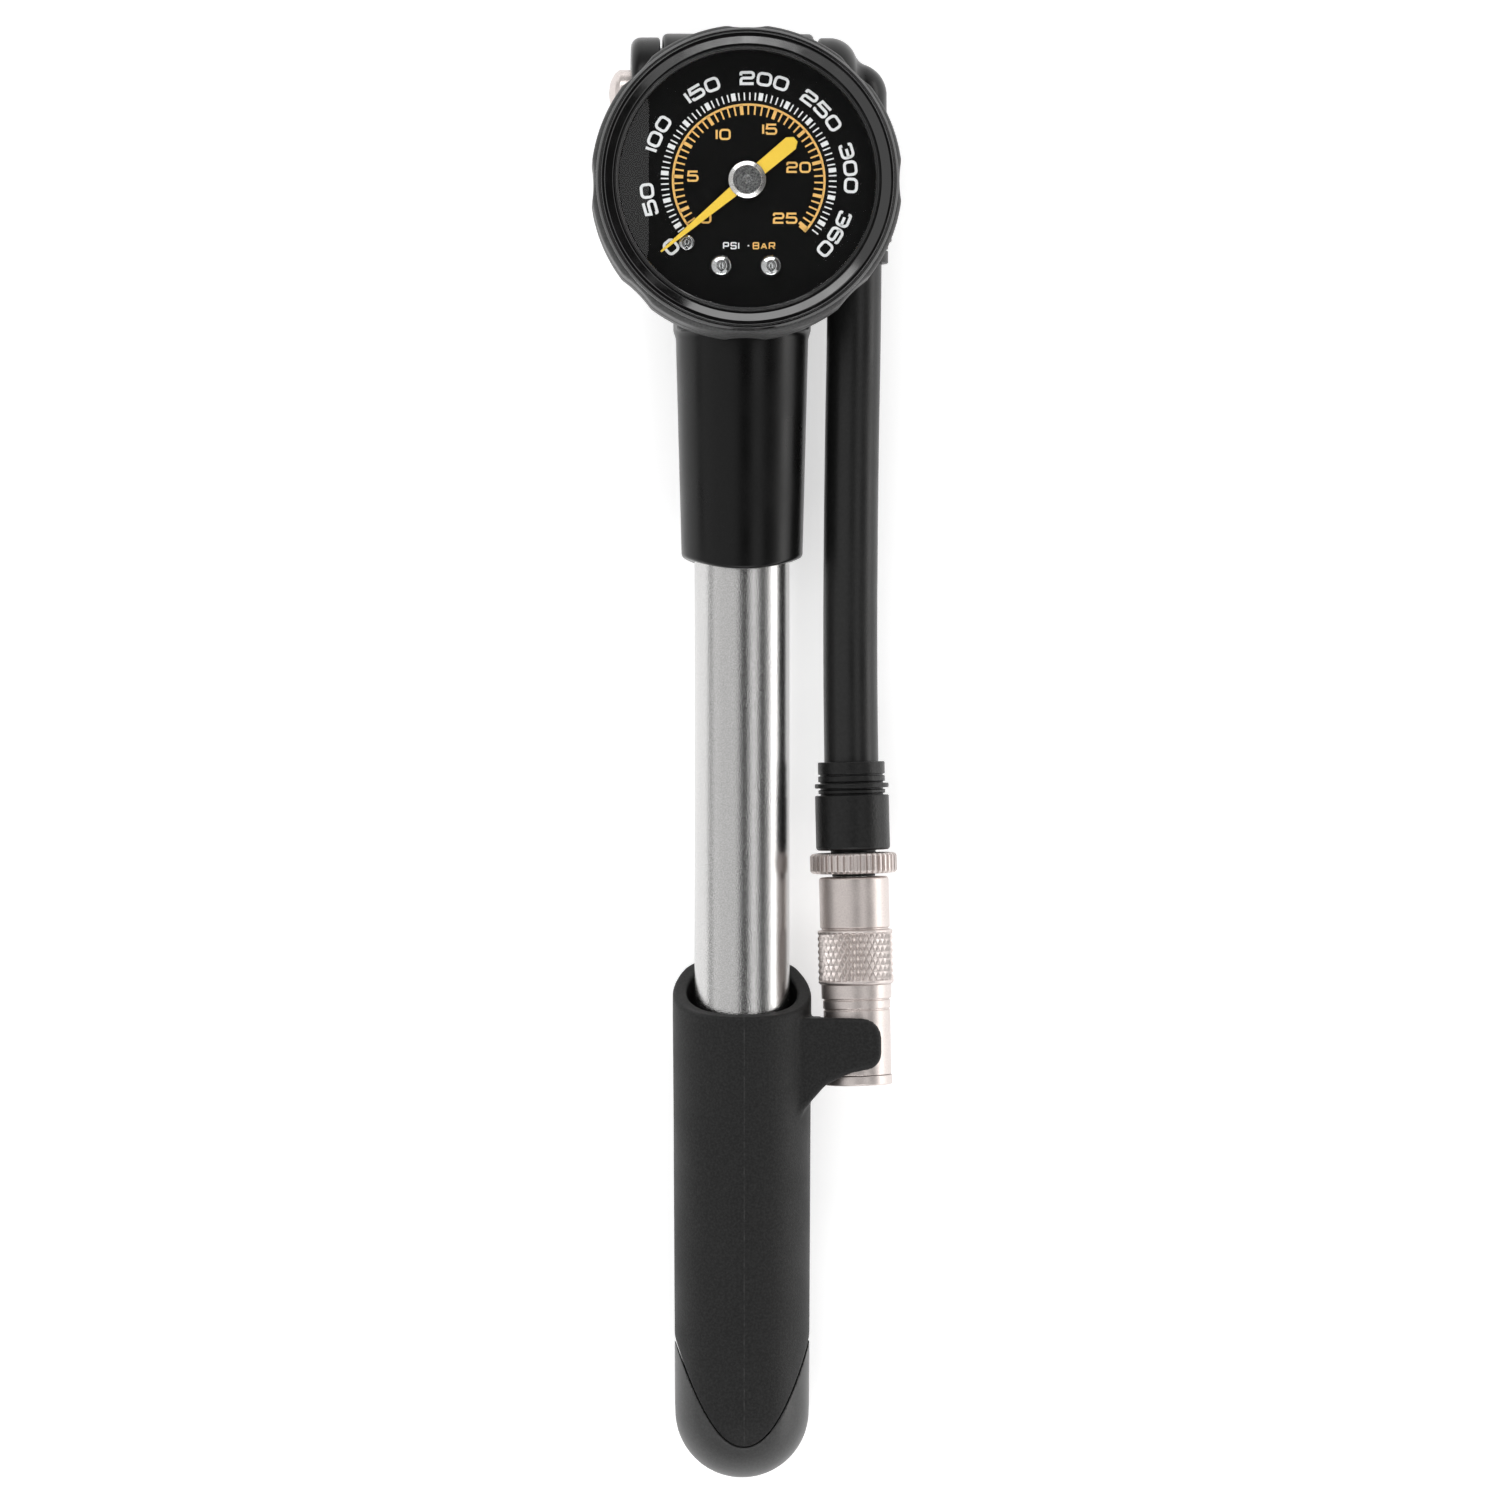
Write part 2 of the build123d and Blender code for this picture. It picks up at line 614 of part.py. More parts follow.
def thumb_wheel():
    """Toothed wheel with an inner chamber for the pin's cross key."""
    points = toothed(WHEEL_TEETH, WHEEL_R - 0.45, WHEEL_R, 0.75, 0.4)
    wheel = extrude(make_face(Polyline(*points, close=True)), 3.2)
    wheel = CHUCK.location * Pos(0, 0, 13.9) * wheel
    wheel -= rod(CHUCK, CORE_R + GAP, 13, 18)
    return wheel - rod(CHUCK, 3.4, 14.1, 16.5)


def chuck_body():
    """Smooth collar and knurled grip that turn on the core."""
    return turned(
        CHUCK,
        [
            (CORE_R + GAP, 17.6), (5.33, 17.6), (5.33, 25.5), (5.75, 25.5), (5.75, 34.0), (4.0, 34.0),
            (4.0, 23.9), (CORE_R + GAP, 23.9),
        ],
        rounds=[(5.33, 17.6, 0.4)],
    )


def valve_coupler():
    """Lower sleeve: screwed into the knurled body, with the socket for the valve in its mouth."""
    return turned(
        CHUCK,
        [
            (CORE_R + GAP, 26.3), (3.98, 26.3), (3.98, 34.0), (5.35, 34.0), (5.35, 36.3), (5.16, 36.3),
            (5.16, 37.8), (SLEEVE_R, 37.8), (SLEEVE_R, 47.9), (SOCKET_R, 47.9), (SOCKET_R, 41.5),
            (GASKET_R, 41.5), (GASKET_R, 40.0), (CORE_R + GAP, 40.0),
        ],
    )


def depressor_pin():
    """Pin down the middle of the chuck, with a cross key in the thumb wheel's chamber."""
    key = CHUCK.location * block((-2.9, -0.35, 14.4), (2.9, 0.35, 15.0))
    return rod(CHUCK, 0.5, 14.4, 41.0) + key


def parts():
    """Every node's shape, by name."""
    hose_top = UPPER_COLLAR_END
    return {
        "head_shell": head_shell(),
        "manifold": manifold(),
        "barrel": ring(BARREL, BARREL_R, BORE_R, BARREL_END, BARREL_TOP),
        "barrel_o_ring": ring(BARREL, BORE_R - 0.01, 4.6, 65.1, 66.9),
        "check_valve_seat": ring(BARREL, 2.6, 1.3, 66.0, 67.0),
        "check_valve_poppet": poppet(),
        "check_valve_spring": spring(BARREL, 1.85, 0.25, 68.45, 78.95, 6),
        "rod_gland": rod_gland(),
        "rod_wiper": ring(BARREL, 4.4, ROD_R + 0.03, BARREL_END + 2.45, BARREL_END + 3.95),
        "bleed_cap": bleed_cap(),
        "bleed_button": bleed_button(),
        "bleed_plunger": bleed_plunger(),
        "bleed_seal": ring(CROSS, 2.2, 1.2, -2.45, -1.9),
        "bleed_spring": spring(CROSS, 2.3, 0.3, -16.45, -9.05, 4),
        "gauge_socket": gauge_socket(),
        "gauge_case": turned(
            GAUGE,
            [
                (3.4, SEAT_Z), (CASE_R, SEAT_Z), (CASE_R, CASE_RIM_Z), (CASE_BORE_R, CASE_RIM_Z),
                (CASE_BORE_R, SEAT_Z + 0.9), (3.4, SEAT_Z + 0.9),
            ],
        ),
        "gauge_boot": gauge_boot(),
        "bezel_ring": bezel_ring(),
        "lens": lens(),
        "lens_gasket": ring(GAUGE, 20.2, 19.3, DIAL_Z + 0.05, 34.85),
        "dial_plate": dial_plate(),
        "dial_screws": dial_screws(),
        "stop_pin": stop_pin(),
        "bourdon_tube": bourdon_tube(),
        "movement_base_plate": movement_plate(25.5, 26.3),
        "movement_top_plate": movement_plate(30.6, 31.3),
        "movement_pillars": movement_pillars(),
        "hairspring": hairspring(),
        "pointer_needle": pointer_needle(),
        "pointer_hub": pointer_hub(),
        "pointer_arbor": pointer_arbor(),
        "sector_gear": sector_gear(),
        "sector_arbor": rod(sector_plane(), ARBOR_R, 25.6, 31.2),
        "handle_grip": handle_grip(),
        "handle_end_cap": handle_end_cap(),
        "piston_rod": rod(BARREL, ROD_R, -99, 57),
        "rod_lock_nut": BARREL.location
        * Pos(0, 0, -92)
        * (extrude(RegularPolygon(5.5, 6), 3.2) - Pos(0, 0, 1.6) * Cylinder(ROD_R, 8)),
        "piston": turned(
            BARREL,
            [
                (ROD_R, 50), (5.92, 50), (5.92, 54), (4.4, 54), (4.4, 56.5), (5.92, 56.5), (5.92, 60), (0, 60),
                (0, 57), (ROD_R, 57),
            ],
        ),
        "piston_seal": ring(BARREL, BORE_R - 0.03, 4.4, 54.05, 56.45),
        "rod_bumper": ring(BARREL, 5.0, ROD_R, 45, 50),
        "swivel_spindle": swivel_spindle(),
        "swivel_o_rings": Compound(
            [ring(CROSS, 3.53, 2.5, 15.45, 16.35), ring(CROSS, 3.53, 2.5, 18.05, 18.65)]
        ),
        "swivel_gland_nut": ring(CROSS, 6.5, THREAD_R + GAP, 11.65, 13.45),
        "swivel_elbow": swivel_elbow(),
        "upper_collar": collar(LEG, hose_top, 1),
        "hose": hose(),
        "lower_collar": collar(CHUCK, 0, 1),
        "chuck_core": chuck_core(),
        "wheel_washer": ring(CHUCK, 3.3, CORE_R, 17.2, 17.5),
        "thumb_wheel": thumb_wheel(),
        "depressor_pin": depressor_pin(),
        "chuck_body": chuck_body(),
        "valve_coupler": valve_coupler(),
        "coupler_end_ring": ring(CHUCK, 5.2, SOCKET_R, 47.9, 49.4),
        "chuck_gasket": ring(CHUCK, GASKET_R - 0.02, 1.2, 40.0, 41.3),
    }


if __name__ == "__main__":
    os.makedirs("parts", exist_ok=True)
    for name, shape in parts().items():
        export_step(shape, f"parts/{name}.step")
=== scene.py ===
"""Studio scene of a high-pressure hand pump with a dial gauge and a fold-down hose.

The pump lies on its back on a pale floor and the camera looks almost straight down. Sizes are in millimetres
in the row frame (+X the hose side, +Y the head, +Z out of the gauge) and become metres when a mesh is made.
"""
import json
from math import ceil, cos, degrees, pi, radians, sin, sqrt, tan

import bmesh
import bpy
import numpy as np
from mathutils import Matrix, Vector

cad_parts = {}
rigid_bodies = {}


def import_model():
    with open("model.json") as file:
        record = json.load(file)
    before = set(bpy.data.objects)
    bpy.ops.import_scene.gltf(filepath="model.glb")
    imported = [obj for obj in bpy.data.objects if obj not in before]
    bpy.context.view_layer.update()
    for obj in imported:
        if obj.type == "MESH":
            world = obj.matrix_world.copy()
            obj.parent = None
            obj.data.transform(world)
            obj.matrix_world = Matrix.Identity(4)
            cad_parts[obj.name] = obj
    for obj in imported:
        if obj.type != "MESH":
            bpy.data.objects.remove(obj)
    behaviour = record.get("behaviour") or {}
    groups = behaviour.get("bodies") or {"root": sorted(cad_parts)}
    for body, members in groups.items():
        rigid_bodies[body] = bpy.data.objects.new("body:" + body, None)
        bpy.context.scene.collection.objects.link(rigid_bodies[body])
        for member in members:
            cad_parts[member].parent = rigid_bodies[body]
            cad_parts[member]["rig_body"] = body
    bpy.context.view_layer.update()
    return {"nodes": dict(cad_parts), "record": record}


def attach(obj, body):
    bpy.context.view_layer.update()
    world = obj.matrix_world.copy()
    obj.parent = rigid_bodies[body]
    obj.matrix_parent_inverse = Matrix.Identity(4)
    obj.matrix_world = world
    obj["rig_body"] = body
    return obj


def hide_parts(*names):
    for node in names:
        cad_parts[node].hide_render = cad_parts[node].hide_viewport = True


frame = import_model()

MM = 0.001
AXIS_Z = 10.6  # height of the barrel's, the cross barrel's and the hose's axes
CROSS_Y = 101.05  # the axis across the head, which the hose swings about
GAUGE_Y = 86.0  # the gauge's axis
LEG_X = 17.25  # the elbow's leg, where the hose starts
DIAL_Z = 32.8  # the dial's face
SMOOTH_ANGLE = 35  # edges that turn more than this, in degrees, stay sharp


# ---- axes and plain maths
class Line:
    """A turning axis: an origin, its direction and the two directions across it."""

    def __init__(self, origin, along, across):
        self.origin = np.array(origin, float)
        self.along = np.array(along, float)
        self.across = np.array(across, float)
        self.third = np.cross(self.along, self.across)

    def place(self, x, y, height):
        """Points of the row frame from distances across and along the axis."""
        steps = x[..., None] * self.across + y[..., None] * self.third + height[..., None] * self.along
        return self.origin + steps


def on_gauge(x, y):
    """An upright line at a distance from the gauge's axis."""
    return Line((x, GAUGE_Y + y, 0), (0, 0, 1), (1, 0, 0))


TILT = radians(1.3)  # the hose's end and the chuck lean out to the right
GAUGE = on_gauge(0, 0)
BARREL = Line((0, 0, AXIS_Z), (0, 1, 0), (1, 0, 0))
CROSS = Line((0, CROSS_Y, AXIS_Z), (1, 0, 0), (0, 1, 0))
LEG = Line((LEG_X, 0, AXIS_Z), (0, 1, 0), (1, 0, 0))
CHUCK = Line((16.705, -0.95, AXIS_Z), (sin(TILT), -cos(TILT), 0), (0, 0, 1))


def rounded(points, default=0.0, support=0.0, closed=True):
    """An outline with rounded corners, of points (a, b) or (a, b, radius).

    Support is the distance of an extra point beside each arc, which keeps the side next to it flat.
    """
    shortest, flattest = 1e-6, 0.03
    arc_share, support_share, arc_step = 0.42, 0.46, 18
    made = []
    count = len(points)
    for k, corner in enumerate(points):
        here = Vector(corner[:2])
        size = corner[2] if len(corner) > 2 else default
        back = Vector(points[k - 1][:2]) - here
        ahead = Vector(points[(k + 1) % count][:2]) - here
        at_end = not closed and k in (0, count - 1)
        stuck = at_end or size <= 0 or min(back.length, ahead.length) < shortest
        if stuck or pi - back.angle(ahead) < flattest:
            made.append(here)
            continue
        half = back.angle(ahead) / 2
        reach = min(size / tan(half), arc_share * back.length, arc_share * ahead.length)
        radius = reach * tan(half)
        centre = here + (back.normalized() + ahead.normalized()).normalized() * radius / sin(half)
        first = here + back.normalized() * reach - centre
        last = here + ahead.normalized() * reach - centre
        turn = pi - 2 * half
        sense = 1 if first.x * last.y - first.y * last.x > 0 else -1
        steps = max(2, ceil(degrees(turn) / arc_step))
        supported = 0 < support < 0.5 * reach + 0.2
        if supported and reach + support < support_share * back.length:
            made.append(here + back.normalized() * (reach + support))
        for step in range(steps + 1):
            a = sense * turn * step / steps
            c, s = cos(a), sin(a)
            made.append(centre + Vector((first.x * c - first.y * s, first.x * s + first.y * c)))
        if supported and reach + support < support_share * ahead.length:
            made.append(here + ahead.normalized() * (reach + support))
    return made


def polar(radius, angle):
    """A point from a radius and an angle in degrees."""
    return radius * cos(radians(angle)), radius * sin(radians(angle))


# ---- objects
def in_scene(name, data):
    """A new object of the scene."""
    obj = bpy.data.objects.new(name, data)
    bpy.context.scene.collection.objects.link(obj)
    return obj


def from_faces(name, points, faces, smooth_angle=SMOOTH_ANGLE, merge=0.0):
    """A mesh object from points in millimetres, with its normals outwards and its sharp edges marked."""
    mesh = bpy.data.meshes.new(name)
    mesh.from_pydata((np.asarray(points, float) * MM).tolist(), [], faces)
    work = bmesh.new()
    work.from_mesh(mesh)
    if merge:
        bmesh.ops.remove_doubles(work, verts=work.verts, dist=merge * MM)
    bmesh.ops.recalc_face_normals(work, faces=work.faces)
    work.to_mesh(mesh)
    work.free()
    mesh.shade_smooth()
    mesh.set_sharp_from_angle(angle=radians(smooth_angle))
    return in_scene(name, mesh)


def stand_for(obj, material, *nodes):
    """The piece rides on the body of the CAD nodes that it stands for."""
    obj.data.materials.clear()
    obj.data.materials.append(material)
    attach(obj, frame["nodes"][nodes[0]]["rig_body"])
    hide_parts(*nodes)


def lathe(name, line, outline, segments, edge=0.1, shape=None, angle=SMOOTH_ANGLE):
    """An outline of (radius, height[, edge radius]) turned about a line.

    Shape gives the radius anew from the radius, the height and the angle round the line.
    """
    on_axis = outline[0][0] == 0
    rows = rounded(outline, default=edge, support=0.05, closed=not on_axis)
    radius = np.array([p.x for p in rows])[:, None]
    height = np.array([p.y for p in rows])[:, None]
    theta = np.arange(segments)[None, :] * 2 * pi / segments
    radius, height, theta = np.broadcast_arrays(radius, height, theta)
    if shape:
        radius = shape(radius, height, theta)
    points = line.place(radius * np.cos(theta), radius * np.sin(theta), height).reshape(-1, 3)
    faces = []
    last = len(rows) - 1 if on_axis else len(rows)
    for k in range(last):
        a = k * segments
        b = (k + 1) % len(rows) * segments
        for j in range(segments):
            after = (j + 1) % segments
            faces.append((a + j, a + after, b + after, b + j))
    return from_faces(name, points, faces, angle, merge=1e-4)


def joined(name, objects):
    """Several mesh objects made one."""
    work = bmesh.new()
    for obj in objects:
        work.from_mesh(obj.data)
    mesh = bpy.data.meshes.new(name)
    work.to_mesh(mesh)
    work.free()
    for obj in objects:
        bpy.data.meshes.remove(obj.data)
    return in_scene(name, mesh)


def slabs(name, outlines, low, high, bevel=0.0):
    """Flat plates with outlines in the row frame's XY plane, as one object."""
    points, faces = [], []
    for outline in outlines:
        base, count = len(points), len(outline)
        points += [(x, y, low) for x, y in outline] + [(x, y, high) for x, y in outline]
        faces.append(tuple(base + k for k in reversed(range(count))))
        faces.append(tuple(base + count + k for k in range(count)))
        for k in range(count):
            after = (k + 1) % count
            faces.append((base + k, base + after, base + count + after, base + count + k))
    obj = from_faces(name, points, faces)
    if bevel:
        rim = obj.modifiers.new("edge", "BEVEL")
        rim.width, rim.segments, rim.limit_method = bevel * MM, 3, "ANGLE"
    return obj


# ---- smooth solids from distance fields
def fuse(a, b, r):
    """The union of two fields, with a fillet."""
    return np.maximum(r, np.minimum(a, b)) - np.hypot(np.maximum(r - a, 0), np.maximum(r - b, 0))


def common(a, b, r):
    """What two fields share, with a rounded edge."""
    return -fuse(-a, -b, r)


def cut(a, b, r):
    """The first field less the second, with a rounded edge."""
    return common(a, -b, r)


def about_barrel(p):
    """Distance from the barrel's axis."""
    return np.hypot(p[..., 0], p[..., 2] - AXIS_Z)


def about_cross(p):
    """Distance from the cross axis."""
    return np.hypot(p[..., 1] - CROSS_Y, p[..., 2] - AXIS_Z)


def disc(radius, low, high, distance, height, edge):
    """A round bar's field from the distance to its axis and the height along it."""
    return common(distance - radius, np.maximum(low - height, height - high), edge)


def in_outline(outline, x, y):
    """Signed distance to a closed outline, negative inside it."""
    best = np.full(x.shape, 1e9)
    inside = np.zeros(x.shape, bool)
    for k, (ax, ay) in enumerate(outline):
        bx, by = outline[(k + 1) % len(outline)]
        ex, ey = bx - ax, by - ay
        share = np.clip(((x - ax) * ex + (y - ay) * ey) / (ex * ex + ey * ey), 0, 1)
        best = np.minimum(best, (x - ax - share * ex) ** 2 + (y - ay - share * ey) ** 2)
        if ey:
            crosses = (ay > y) != (by > y)
            inside ^= crosses & (x < ex * (y - ay) / ey + ax)
    return np.where(inside, -1, 1) * np.sqrt(best)


def spaced(low, high, step, *zones):
    """Grid lines from low to high, closer together in zones of (low, high, step)."""
    lines = [low]
    while lines[-1] < high:
        here = lines[-1]
        steps = [s for a, b, s in zones if a <= here <= b] or [step]
        lines.append(here + min(steps))
    return np.array(lines)


def slope(field, p):
    """A field's gradient at some points."""
    reach = 0.02
    made = []
    for k in range(3):
        step = np.zeros(3)
        step[k] = reach
        made.append((field(p + step) - field(p - step)) / (2 * reach))
    return np.stack(made, -1)


def skin(name, field, xs, ys, zs):
    """The surface where a field is zero, as a mesh of even quads with the field's normals.

    Each grid cell that it passes through gives a point, at the mean of its edges' crossings, which is
    then moved on to the surface. The four cells about a crossed edge make a quad.
    """
    settling_rounds, longest_move = 3, 0.15
    lines = (xs, ys, zs)
    value = field(np.stack(np.meshgrid(xs, ys, zs, indexing="ij"), -1))
    inside = value < 0
    corners = [(i, j, k) for i in (0, 1) for j in (0, 1) for k in (0, 1)]
    cells = np.array(value.shape) - 1
    views = [inside[i : i + cells[0], j : j + cells[1], k : k + cells[2]] for i, j, k in corners]
    total = sum(view.astype(np.int8) for view in views)
    active = np.argwhere((total > 0) & (total < 8))
    number = np.full(cells, -1)
    number[tuple(active.T)] = np.arange(len(active))
    total_point = np.zeros((len(active), 3))
    crossings = np.zeros(len(active))
    for a in corners:
        for axis in range(3):
            if a[axis]:
                continue
            b = tuple(c + (k == axis) for k, c in enumerate(a))
            at_a, at_b = active + a, active + b
            va, vb = value[tuple(at_a.T)], value[tuple(at_b.T)]
            hit = (va < 0) != (vb < 0)
            share = np.where(hit, va / np.where(hit, va - vb, 1), 0)
            pa = np.stack([line[at_a[:, k]] for k, line in enumerate(lines)], -1)
            pb = np.stack([line[at_b[:, k]] for k, line in enumerate(lines)], -1)
            total_point += np.where(hit[:, None], pa + share[:, None] * (pb - pa), 0)
            crossings += hit
    points = total_point / crossings[:, None]
    for _ in range(settling_rounds):
        grad = slope(field, points)
        size = np.maximum((grad**2).sum(-1), 0.05)
        move = -(field(points) / size)[:, None] * grad
        points += np.clip(move, -longest_move, longest_move)
    faces = []
    for axis in range(3):
        b, c = (axis + 1) % 3, (axis + 2) % 3
        low = np.take(inside, range(inside.shape[axis] - 1), axis)
        high = np.take(inside, range(1, inside.shape[axis]), axis)
        found = np.argwhere(low != high)
        keep = (found[:, b] > 0) & (found[:, c] > 0)
        keep &= (found[:, b] < inside.shape[b] - 1) & (found[:, c] < inside.shape[c] - 1)
        found = found[keep]
        step_b, step_c = np.eye(3, dtype=int)[b], np.eye(3, dtype=int)[c]
        around = [found - step_b - step_c, found - step_c, found, found - step_b]
        quad = np.stack([number[tuple(cell.T)] for cell in around], -1)
        outward = inside[tuple(found.T)]
        faces += quad[outward].tolist() + quad[~outward][:, ::-1].tolist()
    mesh = bpy.data.meshes.new(name)
    mesh.from_pydata((points * MM).tolist(), [], faces)
    mesh.shade_smooth()
    grad = slope(field, points)
    grad /= np.maximum(np.linalg.norm(grad, axis=-1, keepdims=True), 1e-9)
    mesh.normals_split_custom_set_from_vertices(grad.tolist())
    return in_scene(name, mesh)


# ---- materials
class Shader:
    """A node material being built about one Principled shader."""

    def __init__(self, name, colour, roughness, metallic=0.0, **sockets):
        self.material = bpy.data.materials.new(name)
        self.material.use_nodes = True
        self.tree = self.material.node_tree
        self.tree.nodes.clear()
        self.shader = self.add("ShaderNodeBsdfPrincipled")
        output = self.add("ShaderNodeOutputMaterial")
        self.link(self.shader.outputs[0], output.inputs[0])
        self.put("Base Color", (*colour, 1.0))
        self.put("Roughness", roughness)
        self.put("Metallic", metallic)
        for socket, value in sockets.items():
            self.put(socket.replace("_", " "), value)
        self.where = self.add("ShaderNodeTexCoord").outputs["Object"]
        self.surface = None

    def add(self, kind, **values):
        made = self.tree.nodes.new(kind)
        for key, value in values.items():
            setattr(made, key, value)
        return made

    def link(self, start, end):
        self.tree.links.new(start, end)

    def put(self, socket, value):
        self.shader.inputs[socket].default_value = value

    def stretched(self, scale):
        """Object coordinates with their own scale on each axis."""
        mapping = self.add("ShaderNodeMapping")
        mapping.inputs["Scale"].default_value = scale
        self.link(self.where, mapping.inputs["Vector"])
        return mapping.outputs["Vector"]

    def noise(self, size, detail, stretch=(1, 1, 1)):
        """Noise with features of about a size in millimetres, longer where stretch is over 1."""
        made = self.add("ShaderNodeTexNoise")
        made.inputs["Detail"].default_value = detail
        made.inputs["Scale"].default_value = 1.0
        scale = [1 / (size * MM * s) for s in stretch]
        self.link(self.stretched(scale), made.inputs["Vector"])
        return made.outputs["Fac"]

    def ramp(self, factor, low, high, start, end):
        """A factor mapped from low..high to start..end."""
        made = self.add("ShaderNodeMapRange")
        made.inputs["From Min"].default_value = low
        made.inputs["From Max"].default_value = high
        made.inputs["To Min"].default_value = start
        made.inputs["To Max"].default_value = end
        self.link(factor, made.inputs["Value"])
        return made.outputs["Result"]

    def tint(self, factor, first, second):
        """The base colour, from the first to the second by a factor."""
        made = self.add("ShaderNodeMix", data_type="RGBA")
        made.inputs["A"].default_value = (*first, 1.0)
        made.inputs["B"].default_value = (*second, 1.0)
        self.link(factor, made.inputs["Factor"])
        self.link(made.outputs["Result"], self.shader.inputs["Base Color"])
        return self

    def tint_over(self, factor, colour):
        """Another colour over the present base colour by a factor."""
        made = self.add("ShaderNodeMix", data_type="RGBA")
        before = self.shader.inputs["Base Color"].links[0].from_socket
        self.link(before, made.inputs["A"])
        made.inputs["B"].default_value = (*colour, 1.0)
        self.link(factor, made.inputs["Factor"])
        self.link(made.outputs["Result"], self.shader.inputs["Base Color"])

    def vary(self, socket, factor):
        """Drives a shader socket by a factor."""
        self.link(factor, self.shader.inputs[socket])

    def bump(self, factor, depth, strength=1.0):
        """Relief of a depth in millimetres."""
        made = self.add("ShaderNodeBump")
        made.inputs["Distance"].default_value = depth * MM
        made.inputs["Strength"].default_value = strength
        self.link(factor, made.inputs["Height"])
        if self.surface:
            self.link(self.surface, made.inputs["Normal"])
        self.surface = made.outputs["Normal"]
        self.link(self.surface, self.shader.inputs["Normal"])

    def maths(self, kind, first, second):
        """A maths node on two values; each is a socket or a number."""
        made = self.add("ShaderNodeMath", operation=kind)
        for value, socket in zip((first, second), made.inputs):
            if isinstance(value, (int, float)):
                socket.default_value = value
            else:
                self.link(value, socket)
        return made.outputs[0]

    def along(self, axis):
        """One object coordinate, in metres."""
        parts = self.add("ShaderNodeSeparateXYZ")
        self.link(self.where, parts.inputs[0])
        return parts.outputs[axis]


def grey(level, warm=0.0):
    """A linear colour from an sRGB grey of 0..255, a little warm or cool."""
    gamma = 2.2
    value = (level / 255) ** gamma
    return value * (1 + warm), value, value * (1 - warm)


def moulded(name, dark, light, roughness, grain, depth, specular):
    """Moulded plastic or rubber: a fine grain in colour and relief, and soft patches of gloss."""
    made = Shader(name, dark, roughness, Specular_IOR_Level=specular)
    fine = made.noise(grain, 3.0)
    patch = made.noise(9.0, 3.0)
    made.tint(made.ramp(made.noise(grain * 1.7, 2.0), 0.35, 0.75, 0.0, 1.0), dark, light)
    made.bump(fine, depth)
    made.vary("Roughness", made.ramp(patch, 0.3, 0.7, roughness - 0.05, roughness + 0.05))
    return made


def turned_metal(name, dark, light, roughness, across, depth):
    """Machined metal: fine marks drawn out across the turning axis, small specks and patches of dullness."""
    made = Shader(name, light, roughness, 1.0)
    marks = made.noise(0.12, 2.0, across)
    patch = made.noise(2.5, 3.0)
    made.tint(made.ramp(made.noise(0.22, 3.0), 0.3, 0.7, 0.0, 1.0), dark, light)
    made.bump(marks, depth, 0.6)
    made.vary("Roughness", made.ramp(patch, 0.3, 0.7, roughness - 0.03, roughness + 0.05))
    return made


